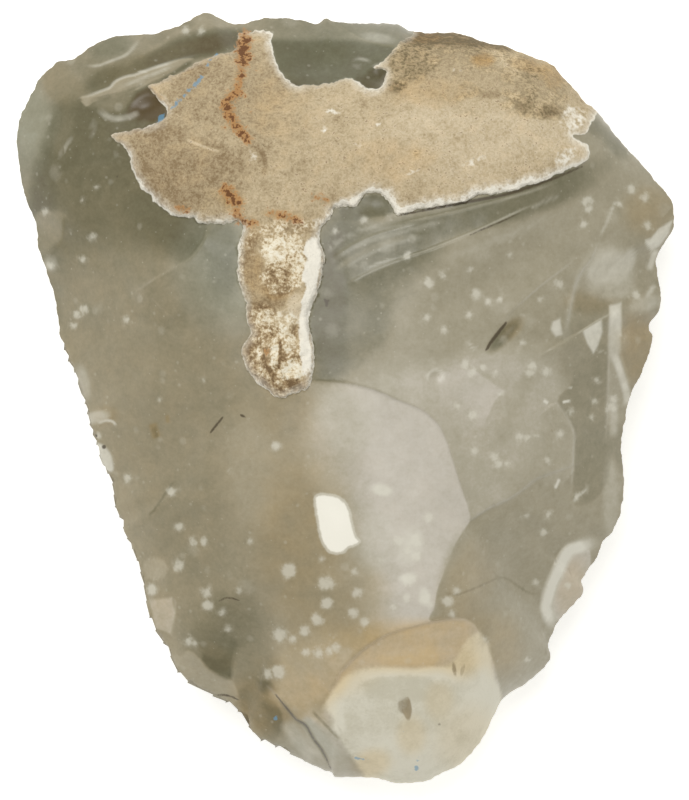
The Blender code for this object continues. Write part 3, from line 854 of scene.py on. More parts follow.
        Stroke(-0.7, ((-45.9, 41.6), (-46.9, 39.3), (-47.9, 36.2)), 1.6),
        Facet(0.9, ((47.6, -29.3), (44.5, -30.3), (43.3, -32), (42.2, -34.8), (41.2, -37.7),
            (40.6, -40.4), (41.4, -43.1), (43.7, -43.1), (47.6, -39.2), (48, -33.4)), 0.3),
        Stroke(-0.9, ((10.3, 31.1), (18.4, 32.9), (26.2, 35.2), (34, 38)), 1.5),
        Stroke(-0.5, ((-3, 24), (2.9, 27.8), (9.1, 30.4), (14.5, 31.5)), 1.6),
        # painted shadow: the thin dark line just under the skin's lower right rim
        Stroke(-1.1, ((10.8, 35.6), (16.5, 36.7), (24.3, 38), (32, 39.7), (39.8, 42.4), (46.6, 45.1)),
            1.2),
        Wash(-0.8, (30.9, 12.1), 4.2, 1.4, 46),
        # dark cracks, stains and holes
        Stroke(-0.6, SEAM[1:], 1.3),
        Stroke(-0.45, ((-6.6, -60.4), (-4.5, -62.6), (-2.2, -64.9), (-0.4, -66.6)), 0.9),
        Stroke(-0.6, ((-32.5, -15.3), (-34.1, -17.5), (-36.4, -20.8), (-38, -22.9), (-39.5, -25)), 0.7),
        Stroke(-0.35, ((18, -37.5), (21.3, -38.1), (24.1, -37.3), (28, -35.7), (30.1, -34.8), (32, -35.3),
            (34, -36.7), (36.1, -37.9), (39, -38.1)), 0.7),
        Stroke(-0.5, ((-37.2, -5.4), (-36.8, -6.8), (-36.4, -7.9)), 1.4),
    ),
    Channel.PALE: (
        # the gap in the skin at the top edge
        Wash(0.3, (6.4, 70), 3.4, 1, -8), Stroke(0.35, ((2.1, 65.8), (3.5, 65.8), (5, 65.2)), 1),
        Stroke(0.3, ((1.3, 64.6), (2.9, 63.8)), 0.9), Wash(0.25, (6.6, 64.4), 1.2, 0.6),
        # bottom left
        Stroke(0.35, ((-11.9, -62.2), (-9.2, -66.1), (-5.3, -71.1)), 4.4),
        # the steep scar down the right edge
        Facet(0.75, ((51.5, 17.9), (51.5, 12.1), (53.8, 12.1), (53.8, 18.5)), 0.4, smooth=False),
        Wash(0.4, (52.5, 10.3), 1.2, 3.4),
        Stroke(0.75, ((51.9, 9.4), (53, 7), (54.2, 3.5), (55, 0.4), (54.8, -2.3)), 2.2),
        Stroke(0.35, ((52.3, 0.6), (52.5, -4.2), (52.3, -8.1)), 2.4), Wash(0.25, (51.9, -19.8), 1.6, 8),
        # pale marks in the flint
        Facet(0.8, ((46.2, 13.1), (49.9, 15.2), (50.1, 12.9), (49.3, 10.3), (48.4, 8.6), (47.2, 10.5)),
            0.3, smooth=False),
        Facet(0.75, ((40.4, 14.8), (41.8, 15.4), (42.3, 12.3), (41, 11.9), (40, 13.3)), 0.3,
            smooth=False),
        Wash(0.55, (51.5, 24.5), 4.6, 5), Wash(0.5, (48, 24.1), 0.8, 1.6),
        Wash(0.5, (50.9, 26.9), 1.6, 1.6), Wash(0.5, (55.4, 26.9), 1.2, 2.2, -12),
        Wash(0.3, (51.5, 21), 5, 1.6),
        Facet(0.75, ((58.3, 30.6), (59.7, 31.1), (61.2, 32.9), (63.9, 34.6), (63.1, 31.9), (61.4, 29.6),
            (59.7, 28.6)), 0.3, smooth=False),
        Stroke(0.6, ((60.8, 29.2), (60, 26.9), (59.1, 24.5)), 1.8),
        Stroke(0.5, ((60.6, 22.2), (59.5, 20.6), (58.5, 19.5)), 1.4),
        Wash(0.35, (58.3, 18.1), 3.4, 1.6, 20), Stroke(0.4, LIP, 0.9),
        # painted highlights, partly pale wear: the stroke along LIP at the end of the line above, the short
        # strokes on the lighter ridge just above it, the stroke along UPPER_LIP and the crescent along the
        # small crest below them
        Stroke(0.5, ((-40.3, 63.2), (-39.5, 63.4), (-38.3, 63.4)), 0.8),
        Stroke(0.5, ((-37, 64.2), (-35.6, 64.6), (-34.1, 65)), 0.8), Stroke(0.25, UPPER_LIP, 1),
        Stroke(0.34, ((-47.9, 56.4), (-46.9, 55.1), (-45.1, 54.3), (-43.4, 54.3), (-41.5, 54.7),
            (-39.5, 55.5)), 1.8),
        Facet(0.85, ((-48.8, -8.9), (-46.9, -9.3), (-45.5, -11.2), (-45.1, -14), (-46.7, -14),
            (-48.3, -12)), 0.4),
        Stroke(0.3, ((-43.4, 60.3), (-39.9, 61.9), (-36.4, 63.2), (-32.9, 64.8)), 1.2),
        Stroke(0.3, ((-52.9, 50.8), (-54.1, 49.2), (-55.3, 46.9)), 1.2),
        Stroke(0.16, ((-48.8, 54.1), (-48.8, 52.5), (-49.2, 50.6)), 1.2),
        Stroke(1.2, ((49.5, -27), (47.6, -28.3), (44.1, -29.5), (42.7, -31.3), (41.4, -34), (40, -37.5),
            (39.4, -40.8), (40.4, -43.5), (42.2, -45.1)), 3.6),
        Wash(0.3, (-57.4, 26.1), 1.4, 1.6), Wash(0.35, (-51, 3.1), 1.4, 3.6, 14),
        Wash(0.5, (-48.3, -3.7), 2.6, 1.2, 10),
        Stroke(0.7, ((-48.3, -5), (-46.5, -4.4), (-45.1, -4.6), (-44.4, -5.6)), 0.8),
        # painted highlights, partly pale wear: the thin strokes laid along crest lines, LOW_LINE here and
        # HIGH_LINE, FIN and the crests beside them further down
        Stroke(0.33, LOW_LINE, 0.6),
        Stroke(0.2, ((-4.1, 27.3), (-1.4, 30), (2.1, 31.9), (7.5, 33.7)), 1.2),
        Stroke(0.23, ((-3.7, 25.3), (0.9, 28.8), (6, 30.8), (12.6, 32.5), (20.4, 34.5)), 1.6),
        Stroke(0.2, ((-1, 24.5), (3.7, 27.3), (9.1, 29.6), (16.5, 31.5)), 1),
        Stroke(0.33, ((3.3, 24.5), (6.8, 26.1), (10.3, 26.9), (12.2, 27.6)), 0.9),
        Stroke(0.16, ((18.4, 26.5), (26.2, 29.2), (34, 32.3), (41, 35.8)), 2),
        Stroke(0.2, ((35.9, 36.6), (38.8, 38), (42.2, 39.3)), 1), Wash(0.6, (12.6, -28.7), 2.6, 3.8, -20),
        Wash(0.8, (12.2, -34.8), 1.7, 1, 8), Wash(0.9, (15.5, -38.5), 1.1, 1.8, 10),
        Wash(0.25, (6.8, -27.6), 4, 6), Wash(0.9, (7.2, -17.8), 2.1, 1.1, -10),
        Wash(0.25, (0.9, -4.2), 6, 7), Stroke(0.23, HIGH_LINE, 0.8),
        Stroke(0.14, ((-3, 26.5), (1.3, 29.6), (7.2, 32.1), (16.5, 34.3)), 1.8),
        Stroke(0.14, ((0, 22), (5.8, 24.9), (12.2, 27.5)), 1.4),
        Stroke(0.18, ((48.8, 28.8), (46.4, 25.7), (44.9, 21.8), (43.9, 18.1), (42.7, 11.9)), 1.9),
        Stroke(0.13, ((44.7, 26.9), (43.3, 25.7), (37.9, 21.6), (33, 17.3)), 0.7),
        Stroke(0.4, ((53.4, 39.1), (52.1, 36.8), (51.1, 34.3), (49.5, 31.1)), 0.9),
        Stroke(0.4, ((23.7, 11.1), (24.7, 9.8), (26.2, 9)), 0.8),
        Stroke(0.5, ((16.1, 2.6), (16.1, 4.5), (17.7, 5.5), (19, 4.5), (19.2, 2.4)), 0.9),
        Stroke(0.25, FIN, 0.6), Stroke(0.5, ((42.9, 1.8), (44.3, 2), (46, 2)), 0.5),
        Stroke(0.9, ((42.2, -0.9), (42.9, -0.7), (44.1, -0.5)), 0.8),
        Stroke(0.9, ((38.5, -0.5), (39, -0.7), (39.6, -1.1)), 1),
        Stroke(0.9, ((41.8, -15.5), (41.4, -16.5), (40.8, -17.7)), 0.9),
        Stroke(0.5, ((47.2, -17.1), (46.8, -18), (45.1, -19.2), (44.5, -20.6)), 0.9),
        Stroke(0.3, ((48.8, 9.4), (50.3, 8.8)), 0.6),
    ),
    Channel.CHALK: (
        # chalk at the tip, under its own scar
        Facet(1, ((-4.5, -61.4), (-3.3, -58.3), (-1.4, -55.6), (1.3, -53.2), (5.8, -52.1), (10.7, -52.3),
            (16.5, -52.3), (20.8, -51.3), (23.5, -47.4), (25.8, -45.5), (27.8, -48), (28.9, -53.2),
            (30.7, -58.7), (30.1, -66.5), (18.4, -78.1), (6.8, -78.1), (3.7, -73.3), (0.9, -69.2),
            (-1, -66.1), (-3.3, -63.7)), 1.3),
        Wash(0.3, (-4.5, -62.6), 3, 2.6, -40),
    ),
    Channel.SPECK: (
        # pale marks in the flint
        Patch(((-6.1, -19.4), (-5.1, -18.4), (-3.3, -18.4), (-1.4, -18.8), (0.2, -19.8), (1.1, -21.5),
            (1.7, -24.1), (2.3, -26.4), (3.3, -27.8), (2.1, -28.7), (0.9, -29.1), (0, -30.1),
            (-1.8, -30.3), (-3.3, -29.9), (-4.3, -28.5), (-5.1, -26.2), (-5.5, -23.9), (-5.9, -21.5)), 3),
        Dots(((12.2, 27.5, 0.7), (-1.8, 32.3, 0.5), (3.7, 34.5, 0.6))), SPECKS,
    ),
    Channel.DARK: (
        # dark cracks, stains and holes, and a painted shadow line
        Vein(((27.4, 9.2), (28.3, 10.7), (29.7, 12.5), (31.3, 14.6)), 0.7, 0.3),
        Vein(SEAM[1:], 0.34, 0.2),
        Vein(((-25.7, -58.3), (-24, -57.7), (-22, -58.1), (-20.6, -58.7)), 0.35),
        Vein(((-23.6, -3.7), (-24.7, -5), (-26.1, -6.8)), 0.5),
        Vein(((-3.9, 19.1), (-3.5, 18.5), (-3.5, 17.7)), 0.6, 0.3),
        Vein(((-3.7, 18.5), (-3, 18.9)), 0.5, 0.2),
        Vein(((-20.1, -3.3), (-19.7, -3.5), (-19.3, -3.7)), 0.5, 0.3),
        Vein(((-24.5, -39.4), (-22.8, -38.7), (-20.5, -39.2)), 0.3),
        # painted shadow: the thin dark line just under the skin's lower right rim
        Vein(((11, 35.4), (16.5, 36.5), (24.3, 38), (32, 39.6), (39.8, 42.2), (46.6, 45.1)), 0.55, 0.2),
        Vein(((24.3, 31.5), (27.4, 32.9), (30.1, 34), (34, 35.8)), 0.3, 0.1),
        Dots(((-48.5, -7.3, 0.35), (-46.9, -9.5, 0.4), (18.4, -63.3, 0.25), (-44.2, 43, 0.2))),
    ),
    Channel.SHADE: (
        # marks on the chalk
        Stroke(1.3, ((-4.5, -63.5), (-2.2, -59.8), (0.2, -56.3), (3.3, -54.2), (8.7, -53.2),
            (14.5, -52.8), (20.8, -53.6), (26.2, -56.7)), 3),
        Wash(-0.9, (11, -56.3), 8, 2.6), Wash(0.4, (4.8, -67.4), 4, 4),
        Stroke(1.6, ((2.1, -52.8), (-0.6, -55.6), (-1.8, -59.1), (-1.4, -62.6), (-0.2, -66.1)), 4),
        Wash(0.5, (14.2, -69.4), 10, 5), Wash(1, (28.2, -54.8), 2, 7, 14), Wash(1, (26.2, -60.6), 3.6, 5),
    ),
    Channel.SOIL: (
        # marks on the chalk
        Wash(1.1, (12.2, -60.2), 0.9, 2.4, 4), Wash(0.6, (11.2, -59.7), 1.2, 1.7, -10),
        Wash(0.75, (21.3, -52.5), 0.5, 1.7, 10), Wash(0.6, (22.9, -52.8), 0.5, 1.5, -14),
        Stroke(0.3, ((25.4, -56), (25.6, -57.5)), 1.4),
        Stroke(0.4, ((0.2, -67.4), (1.1, -66.1), (1.7, -64.5)), 1.2),
        Stroke(0.4, ((-1.8, -62.6), (-0.6, -64.9), (0.9, -68)), 1.4),
    ),
    Channel.BLUE: (
        # marks on the chalk
        Vein(((1.1, -69.6), (2.9, -70), (5.6, -70.7)), 0.5, 0.3),
        Dots(((11.6, -64.7, 0.5), (14.3, -70.1, 0.4), (14, -71.9, 0.4), (-13.5, -62, 0.4))),
    ),
}

SKIN_PAINT: Paint = {
    Channel.SHADE: (
        # the left lobe is darker, the middle lighter
        Wash(-0.7, (-33.1, 43.4), 13, 9, -10), Wash(-0.35, (-25.3, 59.9), 9, 9),
        Wash(-0.6, (-38, 51.6), 7, 2, -4), Wash(0.45, (23.3, 49.8), 25, 8, 4),
        Wash(-0.25, (-16.2, 59.9), 5, 10), Wash(-0.8, (-17.5, 71.6), 3, 0.8),
        Wash(-0.5, (-24, 35.6), 1.6, 1),
        # painted shade: a darker band just below the crease across the left lobe
        Stroke(-0.6, ((-39.9, 51.8), (-35, 50.6), (-30.2, 49.4), (-25.3, 47.5), (-20.5, 44.8),
            (-17, 42.4)), 4),
        Stroke(0.3, ((-31.3, 50.4), (-27.3, 48.6), (-23.6, 47.5)), 0.9),
        # painted shade: darker in the small valley above the stem
        Stroke(-0.7, ((-17.3, 49), (-15.8, 47.1), (-15.4, 44.8), (-16.2, 42.8)), 1.6),
        # the stem: tan on its left, crumbly down its middle, smooth and white down its right
        Wash(-0.35, (-17.9, 26.5), 2.4, 8), Wash(0.6, (-13.1, 28.8), 3.8, 3),
        Wash(-0.45, (-12.1, 23.2), 3.2, 2.6), Wash(-0.35, (-13.6, 20.6), 3.4, 1.6),
        Wash(0.4, (-9.2, 26.5), 1.4, 5), Wash(-0.9, (-14.8, 18.3), 4.2, 1.5, 4),
        Wash(-0.8, (-18.1, 17.3), 0.8, 0.7), Wash(0.7, (-9.4, 17.5), 2, 3, -20),
        Wash(0.3, (-16.2, 15.2), 2.6, 2), Wash(0.5, (-11.9, 14.8), 2, 2.4, -20),
        Wash(0.35, (-10.7, 10.9), 1.4, 3), Wash(-0.6, (-9.4, 13.1), 0.9, 1.2),
        Wash(-0.5, (-18.7, 5.1), 2, 3.4, 24), Wash(-0.4, (-18.3, 11.3), 2, 5),
        Wash(0.8, (-10, 3.7), 1.8, 1), Wash(-1, (-18.5, 9.4), 0.9, 1.7),
        Wash(0.8, (-16.8, 8.4), 1.3, 1.3), Wash(0.7, (-13.6, 9), 0.9, 3.2),
        Wash(-0.9, (-15.6, 7.4), 0.8, 1), Wash(-0.5, (-15, 9.2), 0.8, 0.9),
        Wash(-0.6, (-17.5, 7.8), 0.8, 1.2), Wash(-0.5, (-15, 3.3), 1.4, 0.8),
        Wash(-0.5, (-13.5, 12.5), 1, 0.8), Wash(-0.5, (-16.4, 11.7), 1.2, 0.9),
        Wash(-0.7, (-13.5, 1.6), 2.6, 0.8, -8),
        Stroke(-0.9, ((-15.4, 6.6), (-14.6, 5.5), (-13.8, 4.3), (-13.1, 3.1)), 1.6),
        Stroke(-0.85, ((-12.5, 11.7), (-12.5, 9), (-12.7, 5.9), (-12.9, 4.7)), 0.9),
        Wash(-0.9, (-11.9, 8), 0.9, 1.3), Wash(-0.5, (-9.6, 7.4), 1, 1.5), Wash(0.8, (-10, 5.1), 2.4, 2),
        Wash(-0.9, (-10.1, 2.6), 2.4, 1.2), Wash(-0.9, (-15.8, 3), 1, 0.6),
        # soil at the upper right
        Wash(-1.3, (20.4, 69.6), 13, 2, -3), Wash(-0.4, (13.8, 65), 3.6, 3),
        Wash(-0.6, (9.9, 60.3), 1.6, 1.2), Wash(-0.2, (21.5, 66.9), 6, 1.8),
        Wash(0.7, (31.5, 66.1), 4, 2.4, -30), Wash(-0.4, (34.8, 56.8), 1.8, 1.8, -20),
        Wash(-0.7, (39.6, 55.5), 2.2, 1.4, 10), Wash(-1.1, (27.8, 69.3), 5, 1.2, -20),
        Wash(-0.5, (28.2, 58.8), 2.4, 0.8),
    ),
    Channel.RIM: (
        # the white rim where the skin is broken through
        Wash(0.75, (27.4, 39.5), 26, 5, 14), Wash(0.1, (46.4, 47.5), 5, 4),
        Wash(0.2, (-38.7, 40.5), 9, 11), Wash(0.2, (-28.6, 34.3), 7, 3), Wash(0.9, (8.3, 39.5), 4, 4),
        Wash(0.8, (1.1, 37.6), 3, 3), Wash(0.2, (-15, 70), 2, 2), Wash(-0.15, (-43, 50.6), 4, 3.6),
        Wash(-0.12, (-41.8, 45.1), 2.4, 3), Wash(-0.5, (-36, 54.3), 2.6, 1.6),
        Wash(-0.45, (-42.6, 51.4), 5, 1.8, 20), Wash(-0.2, (46.4, 51.8), 3, 3),
        Wash(-0.3, (-37.6, 59.5), 3, 2.6), Wash(-0.25, (7.2, 64.2), 3, 2.6),
        Wash(-0.25, (-0.6, 62.1), 4, 1.6), Wash(-0.3, (-19.3, 12.3), 2.6, 14),
        Wash(-0.2, (-13.5, 0.6), 4, 2), Wash(-0.8, (-28.2, 65.4), 13, 3.4, 22),
        Wash(-0.6, (-4.5, 61.1), 5, 2), Wash(-0.8, (9.7, 68.7), 3, 4),
        Wash(-0.5, (26.2, 68.7), 24, 4, -16),
    ),
    Channel.BLEACH: (
        # the white rim where the skin is broken through
        Wash(0.6, (44.3, 54.1), 3, 3.4, 20), Wash(0.38, (-17.7, 46.9), 1.2, 2.2, 30),
        Wash(0.6, (42.9, 46.9), 3, 1.6, 22), Wash(0.5, (-4.5, 34.3), 2.4, 1.4, 30),
        Wash(0.45, (-10.7, 32.9), 3, 1.2), Wash(0.5, (-2, 55.5), 1.8, 1), Wash(0.5, (-4.1, 52.1), 1, 0.9),
        Wash(0.5, (6.8, 52.7), 1.2, 1), Wash(0.45, (2.5, 48.8), 1.2, 0.8),
        Wash(0.5, (13.6, 43.6), 2.6, 0.7, 10), Wash(0.45, (25.2, 45.7), 3.4, 1, 14),
        Wash(0.4, (21.5, 63.4), 1.8, 0.8), Wash(0.4, (17.7, 67.3), 1.2, 0.7),
        # the stem
        Stroke(1.3, ((-4.5, 33.5), (-5.5, 30.8), (-5.7, 26.5), (-6.3, 22.2), (-7.2, 18.3), (-7.8, 14.4),
            (-7.6, 9.4), (-7.2, 5.1), (-8.2, 1.6)), 3.4),
        Wash(1.2, (-6.3, 28.8), 1.7, 2.4, -8), Wash(1.1, (-6.8, 24.3), 1.5, 2.6, -12),
    ),
    Channel.HONEY: (
        # the stem
        Wash(0.4, (-17.9, 26.5), 2.4, 8), Wash(0.8, (-13.1, 21), 3, 2), Wash(0.8, (-15.8, 13.3), 2, 2),
        Wash(0.6, (-10.3, 2.8), 3, 1.6),
        # soil at the upper right
        Wash(0.9, (27, 65.6), 2.4, 1.4), Wash(0.5, (35.5, 64.6), 4, 1.5, -14),
        Wash(0.5, (40.4, 62.6), 2.4, 2.8, 30), Wash(0.5, (14.9, 70.2), 4, 1.2),
        Wash(0.3, (16.5, 59.5), 9, 3), Wash(0.3, (9.7, 46.3), 9, 4), Wash(0.2, (-12.7, 56), 7, 6),
        # stains round the rust
        Stroke(0.4, RUST_LINE, 3.4), Wash(0.4, (-11.9, 35.2), 4.4, 1.2, -8),
        Wash(0.4, (-21.6, 38), 2.2, 3.6, 30),
    ),
    Channel.CRUMB: (
        # the stem
        Wash(1, (-12.3, 29.2), 4.6, 3.4), Wash(0.85, (-12.5, 23.2), 4, 4.2),
        Wash(0.8, (-9, 26.1), 1.6, 5.6), Wash(0.8, (-20.5, 25.3), 1, 8),
        Wash(0.9, (-16.2, 15.2), 3.6, 3.4), Wash(0.6, (-11.1, 14), 3, 3.4), Wash(1, (-13.5, 6.3), 6.6, 7),
        Wash(0.6, (-11.1, 33.1), 7, 2), Wash(0.5, (-17.9, 30.2), 1.6, 3),
    ),
    Channel.SOIL: (
        # above the stem
        Wash(0.4, (-18.3, 46.3), 1.2, 2, 30),
        # soil at the upper right
        Wash(1.2, (18.4, 69.1), 14, 3, -3), Wash(1, (12.6, 65.4), 5.4, 4.6),
        Wash(0.9, (9.9, 60.5), 2.2, 1.8), Wash(0.75, (22.3, 65.8), 9, 3.6),
        Wash(0.85, (33.2, 62.6), 11, 5.4, -38), Wash(0.85, (37.5, 56.6), 7, 2.8, -12),
        Wash(0.9, (27.8, 68.9), 5, 1.6, -20), Wash(0.6, (27.8, 58.6), 5, 2),
        Wash(0.5, (24.3, 57.6), 10, 4, -8), Wash(0.55, (27, 62.6), 10, 3.6, -18),
        Wash(0.6, (41, 59.5), 4, 5, -40), Wash(0.35, (-27.3, 37.6), 8, 3),
        Wash(0.35, (16.5, 46.3), 8, 3, -12),
    ),
    Channel.RUST: (
        # spots and lines of rust
        Vein(((-19.5, 70.4), (-19.5, 68.9), (-19.7, 66.9), (-19.7, 65)), 3.8, 3),
        Vein(((-19.9, 64), (-20.1, 62.6), (-20.5, 61.1)), 2.2, 1.6), Vein(RUST_LINE[1:], 3, 2),
        Vein(((-21.6, 58.6), (-20.5, 58.4), (-19.3, 58.4)), 1.3, 0.8),
        Vein(((-23, 40.3), (-22.2, 39.3), (-21.2, 38.3), (-20.5, 37.4)), 3.4, 2.6),
        Vein(((-21, 37.4), (-21, 36), (-19.9, 34.6), (-17.3, 33.7)), 2.4, 1.6),
        Vein(((-14.6, 35.6), (-12.7, 35.4), (-10.7, 34.8), (-8.8, 34.1)), 2.1, 1.5),
        Vein(((-32.5, 37), (-31.5, 36.8), (-30.4, 36.4)), 1.9, 1.3),
        Vein(((-6.3, 39.1), (-4.5, 38.5), (-3, 38)), 1.4, 1),
        Dots(((-15.4, 9, 0.9), (-23.4, 52.3, 0.6), (-17.3, 63.8, 0.3), (-18.3, 55.3, 0.4),
            (-24, 55.8, 0.4))),
    ),
    Channel.BLUE: (
        # the blue line
        Vein(((-24.7, 66.9), (-26, 65.6), (-27.5, 63.2), (-28.8, 61.1), (-31.1, 59), (-32.7, 57),
            (-34.5, 55.3), (-36.4, 53.5)), 0.85, 0.7),
    ),
}

UPPER_FLAKES = (
    Flake(158, 0.83, 26, 24, 1.6), Flake(176, 0.86, 22, 20, 1.4), Flake(203, 0.84, 26, 24, 1.5),
    Flake(232, 0.8, 30, 20, 1.8), Flake(251, 0.84, 28, 16, 1.6), Flake(312, 0.84, 26, 22, 1.6),
    Flake(334, 0.84, 24, 22, 1.4), Flake(357, 0.86, 24, 20, 1.6), Flake(18, 0.84, 26, 20, 1.6),
)

UNDER_FLAKES = (
    Flake(8, 0.7, 42, 30, 4), Flake(30, 0.74, 36, 26, 3.2), Flake(92, 0.68, 46, 30, 3.6),
    Flake(122, 0.72, 44, 30, 4.2), Flake(150, 0.74, 36, 28, 3.2), Flake(176, 0.7, 40, 26, 3.8),
    Flake(204, 0.72, 38, 28, 3.4), Flake(232, 0.66, 44, 26, 3.6), Flake(256, 0.72, 40, 22, 3),
    Flake(302, 0.7, 46, 26, 3.8), Flake(326, 0.72, 36, 26, 3.4), Flake(348, 0.74, 34, 24, 3),
)


# ---------------------------------------------------------------- the stone's shape


class Slice(Enum):
    """The height at which a grain's pattern is cut, so that each part of the stone has its own."""

    SMOOTH = 0.5
    NIBBLES = 3.5
    RAGGED = 5.5
    ROUGH = 7.5
    UNDER = 20.5


@dataclass(frozen=True)
class Grain:
    """Small uneven bumps of one size.

    Attributes:
        size: How far apart the bumps lie.
        height: How high they stand.
    """

    size: float
    height: float

    def lift(self, places: np.ndarray, part: Slice) -> np.ndarray:
        """Work out how far the grain lifts each place.

        Args:
            places: Places in plan, one to a row.
            part: Which slice of the pattern is used.

        Returns:
            The lifts, in millimetres.
        """
        spots = places / self.size
        return self.height * np.array([noise.noise(Vector((x, y, part.value))) for x, y in spots])


def grain_lift(places: np.ndarray, grains: Iterable[Grain], part: Slice) -> np.ndarray:
    """Return how far several grains together lift each place, in millimetres."""
    return sum(grain.lift(places, part) for grain in grains)


@dataclass(frozen=True)
class Plan:
    """The stone's outline in plan, as directions and distances from its middle.

    Attributes:
        middle: The point that the outline is seen from.
        outline: The outline.
        notch_start: How far inland the outline's notches run, as a share of the way out.
        blur: The directions that the outline is averaged over further in, in degrees.
        nibbles: The small chips along the edge.
        nibble_start: How far inland those run, as a share of the way out.
    """

    middle: Point = (0.0, 6.0)
    outline: Line = OUTLINE
    notch_start: float = 0.5
    blur: tuple[float, ...] = tuple(range(-24, 25, 6))
    nibbles: tuple[Grain, ...] = (Grain(4.4, 0.3), Grain(1.3, 0.2), Grain(0.6, 0.12))
    nibble_start: float = 0.95

    def radius(self, angles: np.ndarray) -> np.ndarray:
        """Return the outline's distance from the middle in each direction."""
        ring = Curve(self.outline, closed=True).traced()[:-1] - self.middle
        directions = np.arctan2(ring[:, 1], ring[:, 0])
        return np.interp(angles, directions, np.hypot(ring[:, 0], ring[:, 1]), period=math.tau)

    def places(self, reach: np.ndarray, angles: np.ndarray) -> np.ndarray:
        """Return where points lie in plan, one to a row.

        Args:
            reach: How far out each point lies: 0 in the middle, 1 at the edge.
            angles: The direction of each point.

        Returns:
            Their places.
        """
        directions = np.column_stack([np.cos(angles), np.sin(angles)])
        radius = self.radius(angles)
        rim = directions * radius[:, None]
        chipped = grain_lift(rim, self.nibbles, Slice.NIBBLES)
        out = reach * radius + chipped * smooth_step(self.nibble_start, 1.0, reach)
        return directions * out[:, None] + self.middle

    def dome_reach(self, reach: np.ndarray, angles: np.ndarray) -> np.ndarray:
        """Even out how far out places lie, so that no notch scores the domes.

        Args:
            reach: How far out each place lies: 0 in the middle, 1 at the edge.
            angles: The direction of each place.

        Returns:
            How far out each place counts as lying.
        """
        own = self.radius(angles)
        blurred = np.mean([self.radius(angles + math.radians(turn)) for turn in self.blur], axis=0)
        evened = reach * own / blurred
        return evened + (reach - evened) * smooth_step(self.notch_start, 1.0, reach)

    def flaked(self, places: np.ndarray, flakes: Iterable[Flake]) -> np.ndarray:
        """Work out how deep flakes cut at each place.

        Args:
            places: Places in plan, one to a row.
            flakes: The flakes.

        Returns:
            The depths, in millimetres.
        """
        deep = np.zeros(len(places))
        for flake in flakes:
            deep = np.maximum(deep, flake.deep * (1.0 - self.flake_reach(places, flake) ** 2))
        return deep

    def flake_reach(self, places: np.ndarray, flake: Flake) -> np.ndarray:
        """Measure places against a flake.

        Args:
            places: Places in plan, one to a row.
            flake: The flake.

        Returns:
            How far out on it each place lies: 0 in its middle, 1 at its rim.
        """
        angle = math.radians(flake.direction)
        outward = np.array([math.cos(angle), math.sin(angle)])
        middle = np.array(self.middle) + flake.out * self.radius(np.array(angle)) * outward
        return ellipse(places, tuple(middle), flake.length / 2, flake.width / 2, flake.direction)


@dataclass(frozen=True)
class Edge:
    """The rim where the two faces meet.

    Attributes:
        height: Its height above the lowest point of the uncut stone.
        waves: Its waves up and down: turns round the stone, height and start.
        sharp: The power that shapes it where it is sharp.
        rounded: The power that shapes it where the skin or the chalk rounds it over.
        round_stretches: Those stretches: their middle and half width, in degrees.
        blend: How much of such a half width the change takes, to either side.
    """

    height: float = 22.0
    waves: tuple[tuple[int, float, float], ...] = ((2, 2.2, 0.6), (3, 1.6, 2.1), (5, 1.0, 4.0), (8, 0.5, 1.0))
    sharp: float = 1.0
    rounded: float = 0.55
    round_stretches: tuple[Point, ...] = ((62.0, 26.0), (-78.0, 20.0))
    blend: float = 0.4

    def level(self, angles: np.ndarray) -> np.ndarray:
        """Return the height of the edge in each direction."""
        waves = (height * np.sin(turns * angles + start) for turns, height, start in self.waves)
        return self.height + sum(waves)

    def power(self, angles: np.ndarray) -> np.ndarray:
        """Work out the power that shapes the edge.

        Args:
            angles: Directions from the middle.

        Returns:
            The power in each direction.
        """
        share = np.zeros(len(angles))
        for middle, half_width in self.round_stretches:
            away = np.abs((np.degrees(angles) - middle + 180.0) % 360.0 - 180.0)
            low, high = (1.0 - self.blend) * half_width, (1.0 + self.blend) * half_width
            share = np.maximum(share, 1.0 - smooth_step(low, high, away))
        return self.sharp + (self.rounded - self.sharp) * share


@dataclass
class Spots:
    """Places on one face of the stone.

    Attributes:
        places: Where they lie in plan, one to a row.
        reach: How far out they lie: 0 in the middle, 1 at the edge.
        angles: Their directions from the middle.
    """

    places: np.ndarray
    reach: np.ndarray
    angles: np.ndarray


